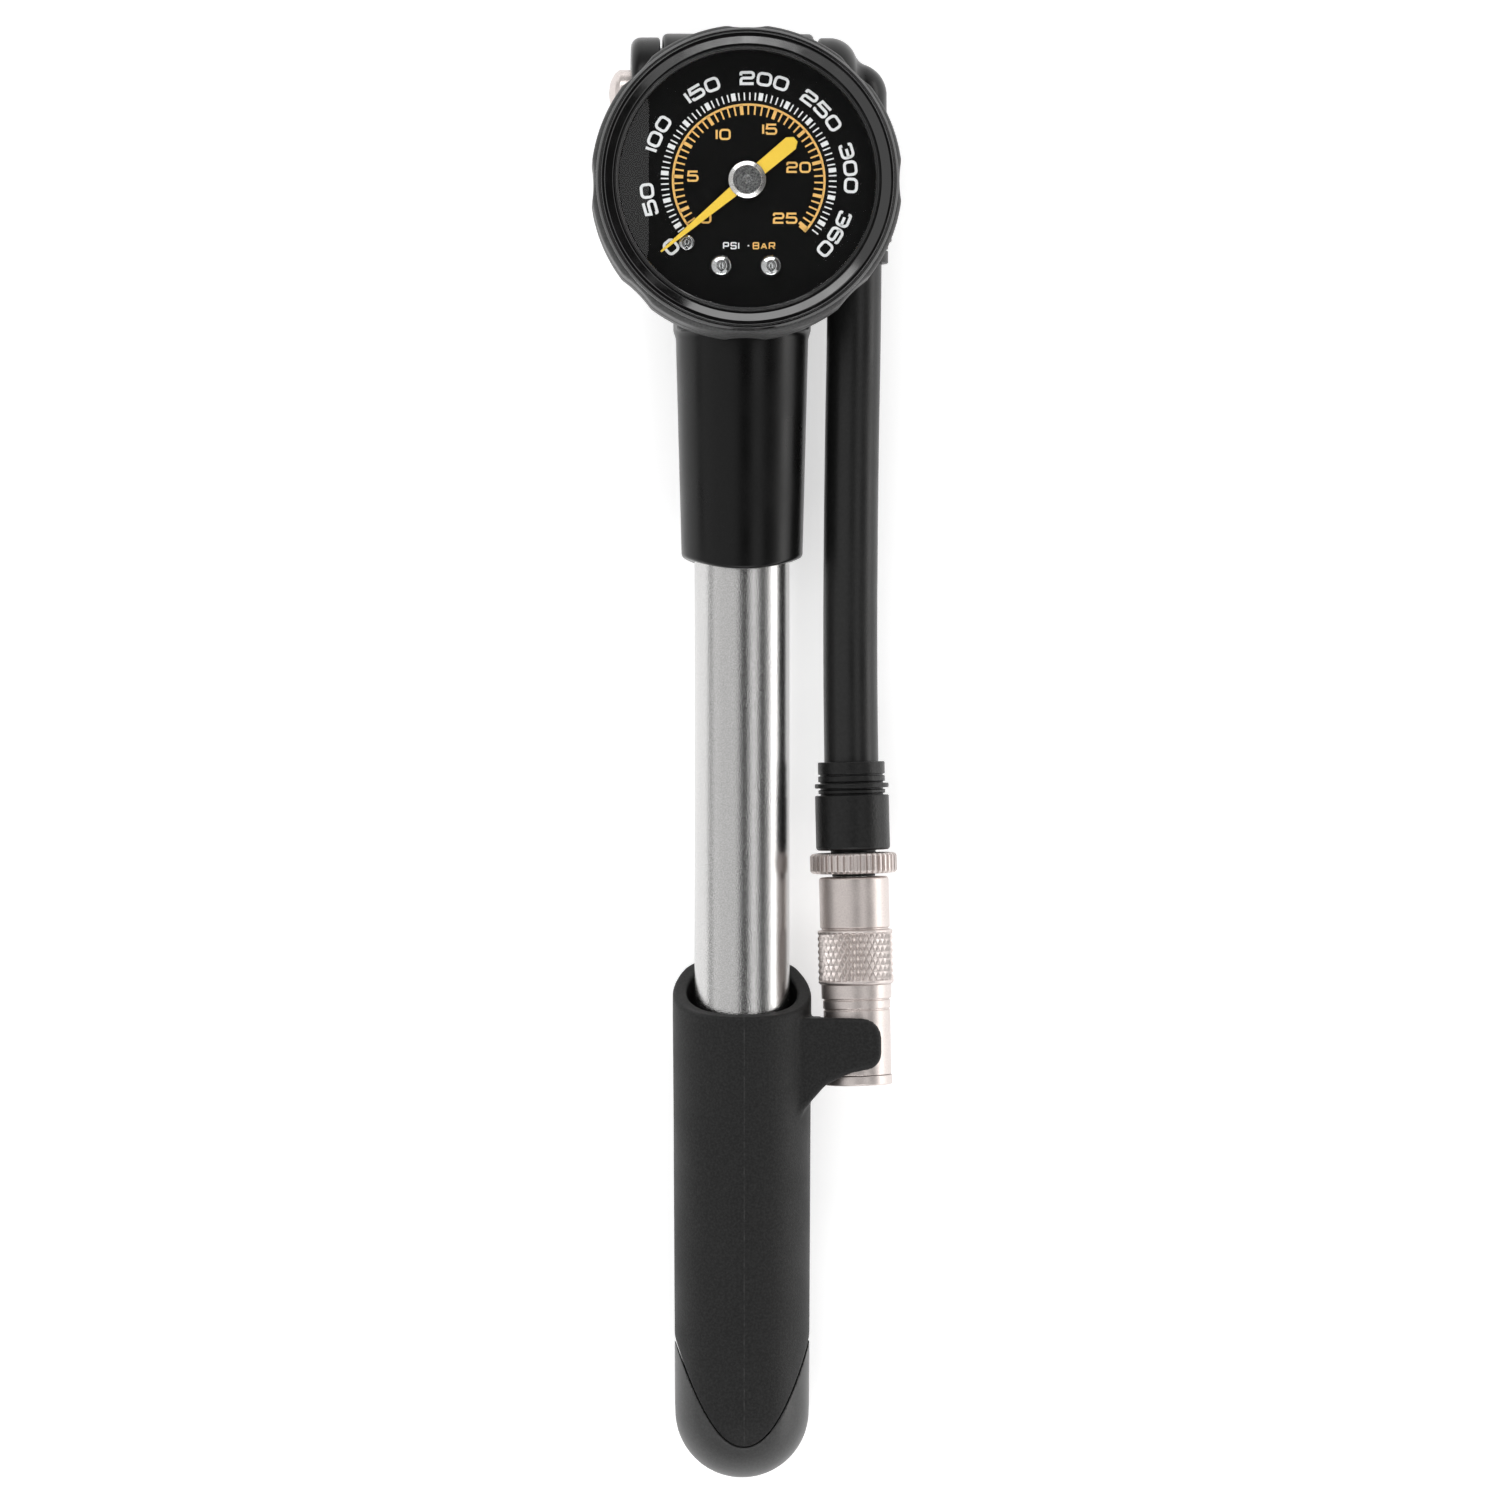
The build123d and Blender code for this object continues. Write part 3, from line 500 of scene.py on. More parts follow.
def all_materials():
    """Every material, by slot or piece."""
    made = {}
    for name, dark, light, *finish in (
        ("head_plastic", 11, 17, 0.3, 0.25, 0.004, 0.26),
        ("handle_plastic", 22, 38, 0.58, 0.2, 0.035, 0.3),
        ("cap_plastic", 54, 64, 0.38, 0.2, 0.01, 0.38),
        ("collar_plastic", 12, 26, 0.4, 0.35, 0.06, 0.35),
        ("hose_rubber", 26, 32, 0.36, 0.3, 0.012, 0.38),
        ("seal_rubber", 24, 32, 0.5, 0.2, 0.01, 0.4),
        ("boot_rubber", 60, 76, 0.5, 0.22, 0.03, 0.48),
    ):
        made[name] = moulded(name, grey(dark), grey(light), *finish)

    grip = made["handle_plastic"]
    from_middle = grip.maths("ABSOLUTE", grip.along("X"), 0.0)
    mould_line = grip.ramp(from_middle, 0.03 * MM, 0.14 * MM, 1.0, 0.0)
    front = grip.ramp(grip.along("Z"), 19.5 * MM, 20.3 * MM, 0.0, 1.0)
    broken = grip.ramp(grip.noise(1.6, 4.0), 0.45, 0.6, 0.15, 1.0)
    seam = grip.maths("MULTIPLY", grip.maths("MULTIPLY", mould_line, front), broken)
    grip.tint_over(grip.maths("MULTIPLY", seam, 0.4), grey(76))
    grip.bump(seam, 0.05)

    gloss = Shader("bezel_gloss", grey(14), 0.12, Specular_IOR_Level=0.9)
    gloss.tint(gloss.noise(0.6, 3.0), grey(12), grey(18))
    gloss.vary("Roughness", gloss.ramp(gloss.noise(3.0, 4.0), 0.35, 0.75, 0.07, 0.2))
    made["bezel_gloss"] = gloss

    case = Shader("gauge_case_paint", grey(28), 0.3, Specular_IOR_Level=0.5)
    case.tint(case.noise(0.5, 3.0), grey(24), grey(34)).bump(case.noise(0.4, 2.0), 0.01)
    made["gauge_case_paint"] = case

    dial = Shader("dial_black", grey(10), 0.5, Specular_IOR_Level=0.08)
    dial.tint(dial.noise(0.15, 2.0), grey(6), grey(14)).bump(dial.noise(0.1, 2.0), 0.002)
    made["dial_black"] = dial

    for name, dull, clean in (
        ("print_white", (0.8, 0.81, 0.82), (0.92, 0.92, 0.92)),
        ("print_orange", (0.86, 0.5, 0.14), (0.95, 0.58, 0.18)),
    ):
        paint = Shader(name, clean, 0.45, Specular_IOR_Level=0.3)
        paint.tint(paint.noise(0.2, 3.0), dull, clean).bump(paint.noise(0.1, 2.0), 0.003)
        made[name] = paint

    needle = Shader("needle_yellow", (0.9, 0.6, 0.05), 0.4, Specular_IOR_Level=0.4)
    needle.tint(needle.noise(0.5, 3.0), (0.88, 0.57, 0.05), (0.93, 0.64, 0.07))
    needle.bump(needle.noise(0.15, 2.0), 0.004)
    made["needle_yellow"] = needle

    barrel = Shader("barrel_aluminium", grey(190), 0.2, 1.0)
    barrel.tint(barrel.ramp(barrel.noise(0.16, 3.0), 0.35, 0.65, 0.0, 1.0), grey(184, 0.01), grey(204, 0.01))
    barrel.bump(barrel.noise(0.22, 2.0), 0.03)
    barrel.vary("Roughness", barrel.ramp(barrel.noise(4.0, 3.0, (1, 6, 1)), 0.3, 0.7, 0.2, 0.24))
    made["barrel_aluminium"] = barrel

    for name, *finish in (
        ("chuck_nickel", (0.6, 0.54, 0.52), (0.7, 0.64, 0.61), 0.4, (14, 1, 14), 0.01),
        ("button_nickel", (0.6, 0.54, 0.52), (0.7, 0.64, 0.61), 0.27, (1, 14, 14), 0.012),
        ("bright_nickel", (0.6, 0.58, 0.56), (0.8, 0.78, 0.76), 0.2, (8, 8, 1), 0.006),
        ("machined_aluminium", grey(180), grey(210), 0.28, (12, 1, 12), 0.01),
        ("rod_chrome", grey(196), grey(222), 0.1, (1, 20, 1), 0.002),
        ("steel", grey(150), grey(185), 0.28, (6, 6, 1), 0.006),
        ("brass", (0.52, 0.36, 0.13), (0.72, 0.52, 0.22), 0.28, (12, 1, 12), 0.01),
        ("hub_face", grey(70), grey(150), 0.4, (1, 1, 1), 0.02),
    ):
        made[name] = turned_metal(name, *finish)
    result = {name: shader.material for name, shader in made.items()}
    result["window"] = window_material()
    return result


def window_material():
    """Clear lens that lets light through to the dial; faint smears change its gloss."""
    made = Shader("window", (0.97, 0.98, 0.98), 0.03, Transmission_Weight=1.0, IOR=1.49)
    made.vary("Roughness", made.ramp(made.noise(5.0, 3.0), 0.4, 0.8, 0.0, 0.012))
    clear = made.add("ShaderNodeBsdfTransparent")
    path = made.add("ShaderNodeLightPath")
    mix = made.add("ShaderNodeMixShader")
    output = next(n for n in made.tree.nodes if n.type == "OUTPUT_MATERIAL")
    made.link(path.outputs["Is Shadow Ray"], mix.inputs[0])
    made.link(made.shader.outputs[0], mix.inputs[1])
    made.link(clear.outputs[0], mix.inputs[2])
    made.link(mix.outputs[0], output.inputs[0])
    return made.material


materials = all_materials()
for part in frame["record"]["subparts"]:
    cad = frame["nodes"][part["node"]]
    cad.data.materials.clear()
    cad.data.materials.append(materials[part["material_slot"]])
    cad.data.shade_smooth()
    cad.data.set_sharp_from_angle(angle=radians(SMOOTH_ANGLE))


def turned(node, material, line, segments, outline, **look):
    """A turned piece that stands for a CAD node."""
    stand_for(lathe(node + "_visual", line, outline, segments, **look), materials[material], node)


def formed(node, material, field, grid):
    """A piece with a field's surface that stands for a CAD node."""
    stand_for(skin(node + "_visual", field, *grid), materials[material], node)


# ---- head
SLEEVE_RIM, SLEEVE_TOP = 28.35, 65.15
SLEEVE_RIM_R, SLEEVE_TOP_R = 9.2, 10.17
SLEEVE_ARC_R = 22.5  # the rim bulges towards the handle, as seen from the front
SHELL_LEFT, SHELL_RIGHT, SHELL_R = -12.2, 10.9, 9.3
BOX_HALF, BOX_TOP, BOX_ROUND, BOX_START = 10.17, 19.7, 4.0, 64.6
SEAT_TOP = 21.9
SEAT_HALF = [(-5, 12), (10.5, 12), (10.5, 14.5), (16.5, 20.3), (16.5, SEAT_TOP), (-5, SEAT_TOP)]
TUBE_BORE_R, CROSS_BORE_R, PORT_R = 7.3, 5.1, 3.4


def head_field(p):
    """Sleeve, squarish body, cross barrel and the gauge's seat, less the bores."""
    x, y, z = p[..., 0], p[..., 1], p[..., 2]
    rho, cross_rho = about_barrel(p), about_cross(p)
    cone = rho - np.interp(y, (SLEEVE_RIM, SLEEVE_TOP), (SLEEVE_RIM_R, SLEEVE_TOP_R))
    centre_y = SLEEVE_RIM + SLEEVE_ARC_R
    rim = np.where(y < centre_y, np.hypot(x, y - centre_y) - SLEEVE_ARC_R, -5.0)
    sleeve = common(common(cone, rim, 0.45), y - SLEEVE_TOP - 2, 0.2)
    across = np.abs(x) - (BOX_HALF - BOX_ROUND)
    up = np.abs(z - BOX_TOP / 2) - (BOX_TOP / 2 - BOX_ROUND)
    outside = np.hypot(np.maximum(across, 0), np.maximum(up, 0))
    section = outside + np.minimum(np.maximum(across, up), 0) - BOX_ROUND
    body = common(section, np.maximum(BOX_START - y, y - CROSS_Y), 0.6)
    cross = disc(SHELL_R, SHELL_LEFT, SHELL_RIGHT, cross_rho, x, 0.8)
    gauge_rho = np.hypot(x, y - GAUGE_Y)
    seat = in_outline(SEAT_HALF, gauge_rho, z)
    solid = fuse(sleeve, body, 1.2)
    solid = fuse(solid, cross, 1.0)
    solid = fuse(solid, seat, 1.5)
    solid = np.maximum(solid, z - SEAT_TOP)
    solid = np.maximum(solid, -z)
    solid = cut(solid, disc(TUBE_BORE_R, 0, 105, rho, y, 0.1), 0.3)
    solid = cut(solid, cross_rho - CROSS_BORE_R, 0.3)
    return cut(solid, disc(PORT_R, AXIS_Z, 30, gauge_rho, z, 0.1), 0.2)


formed("head_shell", "head_plastic", head_field, [
    spaced(-17.2, 17.2, 0.42),
    spaced(27.0, 111.2, 0.45, (27.0, 31.0, 0.22)),
    spaced(-0.6, 22.6, 0.42),
])
turned("barrel", "barrel_aluminium", BARREL, 192, [
    (6.0, -84.0), (7.27, -84.0, 0.25), (7.27, 72.0, 0.2), (6.0, 72.0),
])
turned("bleed_cap", "head_plastic", CROSS, 160, [
    (1.7, -2.5), (3.6, -2.5), (3.6, -7.2), (5.0, -7.2), (5.0, -12.2, 0), (7.1, -12.2, 0), (7.1, -12.6, 0),
    (8.7, -12.6, 0.4), (8.7, -17.0, 1.5), (3.83, -17.0, 0.25), (3.83, -9.0), (1.7, -9.0),
])
turned("bleed_button", "button_nickel", CROSS, 96, [
    (0, -16.5), (3.1, -16.5), (3.1, -11.5), (3.75, -11.5), (3.75, -18.7, 0.4), (3.2, -19.45, 0.8),
    (1.9, -20.15, 2.0), (0, -20.4),
])


# ---- gauge
BOOT_R, BOOT_BORE_R = 23.3, 21.35


def boot_shape(radius, height, theta):
    """Eight shallow scallops round the rubber bumper, each an arc about a point outside it."""
    reach, dip_r, wall_from = 40.85, 18.0, 21.6
    turn = (theta + pi / 8) % (pi / 4) - pi / 8
    inner = np.maximum(dip_r**2 - (reach * np.sin(turn)) ** 2, 0)
    edge = reach * np.cos(turn) - np.sqrt(inner)
    depth = np.maximum(BOOT_R - edge, 0)
    depth = np.where(inner > 0, depth, 0)
    return np.where(radius > wall_from, radius - depth, radius)


turned("gauge_boot", "boot_rubber", GAUGE, 320, [
    (17.0, 21.3), (BOOT_R, 21.3, 0.5), (BOOT_R, 26.2, 0.2), (22.95, 26.5, 0.2), (22.95, 27.1, 0.2),
    (BOOT_R, 27.4, 0.2), (BOOT_R, 34.2, 1.0), (BOOT_BORE_R, 34.2, 0.2), (BOOT_BORE_R, 21.88),
    (17.0, 21.88),
], shape=boot_shape)
turned("bezel_ring", "bezel_gloss", GAUGE, 256, [
    (19.2, 36.15, 0.02), (20.45, 36.15), (20.45, 33.65), (21.3, 33.65), (21.3, 34.25),
    (22.6, 34.25, 0.15), (22.6, 36.1, 0.3), (22.25, 36.6, 0.2), (21.98, 36.55, 0.08),
    (21.8, 36.98, 0.15), (21.3, 36.95, 0.5), (20.1, 36.42, 0.3), (19.78, 36.4, 0.05),
    (19.6, 36.62, 0.08), (19.45, 36.45, 0.04), (19.3, 36.55, 0.06), (19.2, 36.4, 0.04),
], edge=0.08)


def lens_outline():
    """Half section of the window, with its slightly domed face."""
    foot, rise, base, steps = 19.1, 0.8, 36.1, 24
    dome_r = (foot**2 + rise**2) / (2 * rise)
    points = [(0, 34.9), (20.4, 34.9, 0.1), (20.4, base - 0.05, 0.1), (foot, base - 0.05, 0.02)]
    for k in range(steps + 1):
        radius = foot * (1 - k / steps)
        points.append((radius, base + rise - dome_r + sqrt(dome_r**2 - radius**2), 0))
    return points


turned("lens", "window", GAUGE, 192, lens_outline(), angle=50)


ON_DIAL = DIAL_Z + 0.01


def screw_head(x, y):
    """Domed screw head with a small recess, at a distance from the gauge's axis."""
    outline = [
        (0, 28.0), (0.75, 28.0), (0.75, ON_DIAL), (1.8, ON_DIAL, 0.08), (1.8, 33.1, 0.25),
        (1.45, 33.75, 0.5), (0.8, 34.03, 0.4), (0.52, 34.05, 0.08), (0.4, 33.7, 0.1), (0, 33.6),
    ]
    return lathe("screw", on_gauge(x, y), outline, 64)


screws = joined("dial_screws_visual", [screw_head(-3.85, -12.75), screw_head(3.55, -12.75)])
stand_for(screws, materials["rod_chrome"], "dial_screws")
turned("stop_pin", "rod_chrome", on_gauge(-8.95, -9.25), 64, [
    (0, 32.0), (0.5, 32.0), (0.5, ON_DIAL), (1.15, ON_DIAL, 0.05), (1.15, 33.15, 0.15),
    (0.75, 33.3, 0.15), (0.62, 33.1, 0.05), (0.42, 33.1, 0.05), (0.4, 33.95, 0.1), (0, 34.0),
])

NEEDLE_ANGLE = 219.9
NEEDLE_LOW, NEEDLE_HIGH = 33.65, 33.95
BOSS_R, BOSS_SIDES = 2.4, 48
NEEDLE_OUTLINE = [
    (16.7, -0.14), (16.7, 0.14), (2.0, 0.85), (-1.5, 1.0), (-8.5, 1.12), (-9.4, 0.45), (-9.4, -0.45),
    (-8.5, -1.12), (-1.5, -1.0), (2.0, -0.85),
]


def turn_flat(points, angle):
    """Points about the gauge's axis turned by an angle, in the row frame."""
    c, s = polar(1.0, angle)
    return [(x * c - y * s, GAUGE_Y + x * s + y * c) for x, y in points]


needle = turn_flat([tuple(p) for p in rounded(NEEDLE_OUTLINE, default=0.12)], NEEDLE_ANGLE)
boss = turn_flat([polar(BOSS_R, 360 * k / BOSS_SIDES) for k in range(BOSS_SIDES)], 0)
stand_for(
    slabs("pointer_needle_visual", [needle, boss], NEEDLE_LOW, NEEDLE_HIGH, 0.05),
    materials["needle_yellow"],
    "pointer_needle",
)
turned("pointer_hub", "bright_nickel", GAUGE, 128, [
    (0.6, 33.3), (1.25, 33.3), (1.25, 33.96), (2.8, 33.96, 0.05), (2.8, 34.2, 0.1), (2.12, 34.5, 0.06),
    (2.06, 34.34, 0.03), (0.6, 34.3, 0),
])
hub_face = lathe(
    "pointer_hub_face",
    GAUGE,
    [
        (0, 34.31), (2.04, 34.31, 0.02), (2.04, 34.38, 0.04), (0.75, 34.42, 0.1), (0.45, 34.34, 0.05),
        (0.28, 34.45, 0.05), (0, 34.46),
    ],
    96,
)
hub_face.data.materials.append(materials["hub_face"])
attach(hub_face, "pointer")

# ---- dial print
# Strokes of each sign in a box of width 1 and height 1. A point with a third number has a sharp corner.
SIGNS = {
    "0": [("closed", [(0, 0), (1, 0), (1, 1), (0, 1)])],
    "1": [("open", [(0, 0), (0, 1)])],
    "2": [("open", [(0, 0.74), (0, 1), (1, 1), (1, 0.5), (0, 0.5), (0, 0, 0), (1, 0)])],
    "3": [
        ("open", [(0, 0.76), (0, 1), (1, 1), (1, 0), (0, 0), (0, 0.24)]),
        ("open", [(0.3, 0.52), (1, 0.52)]),
    ],
    "5": [("open", [(1, 1), (0.06, 1, 0), (0, 0.58, 0), (1, 0.58), (1, 0), (0, 0), (0, 0.2)])],
    "6": [("open", [(1, 0.78), (1, 1), (0, 1), (0, 0), (1, 0), (1, 0.56), (0, 0.56)])],
    "P": [("open", [(0, 0), (0, 1), (1, 1), (1, 0.42), (0, 0.42)])],
    "S": [("open", [(1, 0.78), (1, 1), (0, 1), (0, 0.5), (1, 0.5), (1, 0), (0, 0), (0, 0.22)])],
    "I": [("open", [(0, 0), (0, 1)])],
    "B": [("closed", [(0, 0), (1, 0), (1, 1), (0, 1)]), ("open", [(0, 0.52), (1, 0.52)])],
    "A": [("open", [(0, 0), (0.5, 1), (1, 0)]), ("open", [(0.2, 0.3), (0.8, 0.3)])],
    "R": [("open", [(0, 0), (0, 1), (1, 1), (1, 0.45), (0, 0.45)]), ("open", [(0.55, 0.45), (1, 0)])],
}
THIN_SIGNS = "1I"


def ribbon(points, width, closed):
    """The outlines of the pieces of a stroke of a width along some points."""
    count = len(points)
    left, right = [], []
    for k, here in enumerate(points):
        before = points[k - 1] if closed or k else None
        after = points[(k + 1) % count] if closed or k < count - 1 else None
        first = (here - before).normalized() if before is not None else (after - here).normalized()
        second = (after - here).normalized() if after is not None else first
        mean = (first + second).normalized()
        normal = Vector((-mean.y, mean.x))
        reach = width / 2 / max(normal.dot(Vector((-first.y, first.x))), 0.5)
        left.append(here + normal * reach)
        right.append(here - normal * reach)
    steps = count if closed else count - 1
    return [[left[k], right[k], right[(k + 1) % count], left[(k + 1) % count]] for k in range(steps)]


def sign_pieces(sign, width, height, stroke, corner):
    """Quads of one sign, centred on the origin, with the stroke inside its box."""
    across = 0 if sign in THIN_SIGNS else width - stroke
    up = height - stroke
    pieces = []
    for kind, points in SIGNS[sign]:
        scaled = [((x - 0.5) * across, (y - 0.5) * up, *(sharp or (corner,))) for x, y, *sharp in points]
        line = rounded(scaled, closed=kind == "closed")
        pieces += ribbon(line, stroke, kind == "closed")
    return pieces


def written(text, font):
    """(offset, pieces) of each sign of a text, centred on the origin."""
    width, height, stroke, corner, gap = font
    widths = [stroke if sign in THIN_SIGNS else width for sign in text]
    total = sum(widths) + gap * (len(text) - 1)
    at = -total / 2
    made = []
    for sign, wide in zip(text, widths):
        made.append((at + wide / 2, sign_pieces(sign, width, height, stroke, corner)))
        at += wide + gap
    return made


def curved_text(text, radius, angle, font):
    """A text that reads clockwise round the dial, centred on an angle."""
    outlines = []
    for offset, pieces in written(text, font):
        turn = angle - degrees(offset / radius)
        for piece in pieces:
            outlines.append(turn_flat([(p.y + radius, -p.x) for p in piece], turn))
    return outlines


def flat_text(text, x, y, font):
    """A level text centred on a point of the dial."""
    outlines = []
    for offset, pieces in written(text, font):
        outlines += [[(p.x + x + offset, GAUGE_Y + p.y + y) for p in piece] for piece in pieces]
    return outlines


def tick(angle, inner, outer, width):
    """A radial bar."""
    half = width / 2
    return turn_flat([(inner, -half), (outer, -half), (outer, half), (inner, half)], angle)


# A font is its signs' width and height, the stroke's width, the corners' radius and the gap between signs.
PSI_FONT, BAR_FONT = (2.3, 2.1, 0.42, 0.55, 0.26), (1.7, 1.66, 0.3, 0.4, 0.24)
PSI_UNIT_FONT, BAR_UNIT_FONT = (0.9, 1.05, 0.18, 0.1, 0.22), (0.95, 1.05, 0.18, 0.1, 0.24)
# Angles are in degrees from the dial's right-hand side, anticlockwise; places are from its centre.
PSI_ZERO, PSI_DEGREES = 231.2, 0.747
PSI_NUMBERS_R = 15.2
PSI_NUMBERS = {
    0: 220.6, 50: 190.9, 100: 152.9, 150: 117.1,
    200: 81.2, 250: 43.9, 300: 7.0, 360: -32.0,
}
PSI_TICKS = range(20, 361, 5)
BAR_DEGREES = 10.83
BAR_NUMBERS = {
    0: (-6.4, -5.6), 5: (-8.3, 0.6), 10: (-3.8, 6.8),
    15: (3.1, 7.6), 20: (7.4, 1.95), 25: (5.4, -5.6),
}
BAR_FIRST, BAR_LAST = 1.0, 25.2
BAR_ARC_R, BAR_ARC_STEPS = 11.25, 140
UNITS_Y, PSI_UNIT_X, BAR_UNIT_X = -9.7, -2.62, 2.25
DOT_X, DOT_HALF = -0.05, 0.1
PRINT_SHIFT = 0.28  # the print sits a little to one side of the pointer's axis

white_print, orange_print = [], []
for value, angle in PSI_NUMBERS.items():
    white_print += curved_text(str(value), PSI_NUMBERS_R, angle, PSI_FONT)
for value in PSI_TICKS:
    inner, outer, width = (11.95, 13.08, 0.65) if value % 25 == 0 else (11.9, 13.05, 0.2)
    white_print.append(tick(PSI_ZERO - PSI_DEGREES * value, inner, outer, width))
white_print += flat_text("PSI", PSI_UNIT_X, UNITS_Y, PSI_UNIT_FONT)
dot = [(-DOT_HALF, -DOT_HALF), (DOT_HALF, -DOT_HALF), (DOT_HALF, DOT_HALF), (-DOT_HALF, DOT_HALF)]
white_print.append([(x + DOT_X, GAUGE_Y + UNITS_Y + y) for x, y in dot])

for value, (x, y) in BAR_NUMBERS.items():
    orange_print += flat_text(str(value), x, y, BAR_FONT)
orange_print += flat_text("BAR", BAR_UNIT_X, UNITS_Y, BAR_UNIT_FONT)
arc_start, arc_end = (PSI_ZERO - BAR_DEGREES * value for value in (BAR_FIRST, BAR_LAST))
arc = []
for k in range(BAR_ARC_STEPS + 1):
    arc.append(Vector(polar(BAR_ARC_R, arc_start + (arc_end - arc_start) * k / BAR_ARC_STEPS)))
for piece in ribbon(arc, 0.33, False):
    orange_print.append([(p.x, GAUGE_Y + p.y) for p in piece])
for half_bars in range(2, 51):
    width = 0.5 if half_bars % 5 == 0 else 0.24
    orange_print.append(tick(PSI_ZERO - BAR_DEGREES * half_bars / 2, 9.75, BAR_ARC_R, width))
orange_print.append(tick(arc_end, 10.1, BAR_ARC_R + 0.15, 0.36))

for name, outlines, material in (
    ("dial_print_white", white_print, "print_white"),
    ("dial_print_orange", orange_print, "print_orange"),
):
    moved = [[(x + PRINT_SHIFT, y) for x, y in outline] for outline in outlines]
    print_piece = slabs(name, moved, DIAL_Z - 0.005, DIAL_Z + 0.025)
    print_piece.data.materials.append(materials[material])
    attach(print_piece, "head")

# ---- handle
GRIP_R = 10.6
MOUTH_SIDE, MOUTH_FALL, MOUTH_CURVE, MOUTH_BACK = -36.15, 5.27, 1.77, -31.0
DOME_Y, DOME_R = -100.15, 10.2
HANDLE_YS, HANDLE_RS = (DOME_Y, -99.15, -52.15, -39.65), (DOME_R, 10.25, 10.5, GRIP_R)
CAP_APEX, CAP_EAR, CAP_HALF = -104.85, 15.8, 10.25
GRIP_BORE_R = 8.4
PARTING = 0.05  # half of the fine gap between the grip and its cap
CLIP_TOP, CLIP_LOW = 16.9, 8.0
CLIP_AXIS_X, CLIP_SEAT_R = 17.7, 5.45
CLIP_CORNERS = [
    (7.0, -39.95), (21.05, -39.95, 4.2), (21.05, -47.4, 2.9), (16.2, -48.4, 4.0), (12.6, -50.1, 3.0),
    (10.3, -52.7, 3.0), (8.0, -55.6, 0.5), (7.0, -55.6),
]
CLIP_OUTLINE = [tuple(p) for p in rounded(CLIP_CORNERS)]


def handle_outer(p):
    """The handle's outer form with its domed end."""
    y, rho = p[..., 1], about_barrel(p)
    side = rho - np.interp(y, HANDLE_YS, HANDLE_RS)
    return np.where(y < DOME_Y, np.hypot(rho, y - DOME_Y) - DOME_R, side)


def cap_side(p):
    """Positive on the grip's side of the parabola between the grip and its cap."""
    x, y = p[..., 0], p[..., 1]
    lift = CAP_EAR / CAP_HALF**2
    return (y - CAP_APEX - lift * x**2) / np.sqrt(1 + (2 * lift * x) ** 2)


def mouth(p):
    """Positive beyond the handle's mouth, which reaches further up the barrel at the back."""
    y, rise = p[..., 1], (p[..., 2] - AXIS_Z) / GRIP_R
    level = MOUTH_SIDE - MOUTH_FALL * rise + MOUTH_CURVE * rise**2
    tilt = (2 * MOUTH_CURVE * rise - MOUTH_FALL) / GRIP_R
    return common((y - level) / np.sqrt(1 + tilt**2), y - MOUTH_BACK, 2.0)


def finger(p):
    """The clip finger beside the handle, hollowed behind for the chuck; far from it only a large value."""
    x, y, z = p[..., 0], p[..., 1], p[..., 2]
    made = np.full(x.shape, 4.0)
    near = (x > 5.5) & (x < 24) & (y > -60) & (y < -37)
    x, y, z = x[near], y[near], z[near]
    flat = in_outline(CLIP_OUTLINE, x, y)
    bar = common(flat, np.maximum(z - CLIP_TOP, CLIP_LOW - z), 0.8)
    from_chuck = np.where(z > AXIS_Z, np.hypot(x - CLIP_AXIS_X, z - AXIS_Z), np.abs(x - CLIP_AXIS_X))
    seat = from_chuck - CLIP_SEAT_R
    exit_way = np.maximum(CLIP_AXIS_X - CLIP_SEAT_R - x, z - AXIS_Z)
    made[near] = cut(bar, np.minimum(seat, exit_way), 0.35)
    return made


def grip_field(p):
    """Grip with its sloping mouth, the clip finger and the bore."""
    body = common(handle_outer(p), PARTING - cap_side(p), 0.22)
    body = common(body, mouth(p), 0.55)
    body = fuse(body, finger(p), 0.55)
    return cut(body, about_barrel(p) - GRIP_BORE_R, 0.35)


def cap_field(p):
    """End cap with its two ears and the plug inside the grip."""
    y, rho = p[..., 1], about_barrel(p)
    shell = common(handle_outer(p), cap_side(p) + PARTING, 0.22)
    shell = cut(shell, np.maximum(rho - GRIP_BORE_R, -103.0 - y), 0.15)
    plug = np.maximum(rho - GRIP_BORE_R + 0.02, np.maximum(-107.0 - y, y + 92.0))
    whole = np.minimum(shell, np.maximum(plug, handle_outer(p) + 0.6))
    return cut(whole, np.maximum(rho - 3.0, -99.0 - y), 0.1)


formed("handle_grip", "handle_plastic", grip_field, [
    spaced(-11.4, 22.0, 0.36, (-10.6, -9.4, 0.18), (9.4, 10.6, 0.18)),
    spaced(-106.4, -30.2, 0.5, (-106.4, -91.0, 0.3), (-91.0, -87.5, 0.18), (-56.0, -30.0, 0.3)),
    spaced(-0.7, 21.9, 0.36),
])
formed("handle_end_cap", "cap_plastic", cap_field, [
    spaced(-11.0, 11.0, 0.28, (-10.6, -9.2, 0.14), (9.2, 10.6, 0.14)),
    spaced(-111.0, -87.6, 0.28, (-92.5, -87.6, 0.16)),
    spaced(-0.5, 21.7, 0.28),
])
turned("piston_rod", "rod_chrome", BARREL, 96, [
    (0, -99.0), (3.0, -99.0, 0.3), (3.0, 57.0, 0.3), (0, 57.0),
])
turned("rod_gland", "machined_aluminium", BARREL, 128, [
    (3.08, -86.0, 0.3), (7.27, -86.0, 0.35), (7.27, -84.02, 0.15), (5.98, -84.02), (5.98, -76.0, 0.3),
    (3.08, -76.0, 0.3), (3.08, -80.0), (4.4, -80.0), (4.4, -81.6), (3.08, -81.6),
])


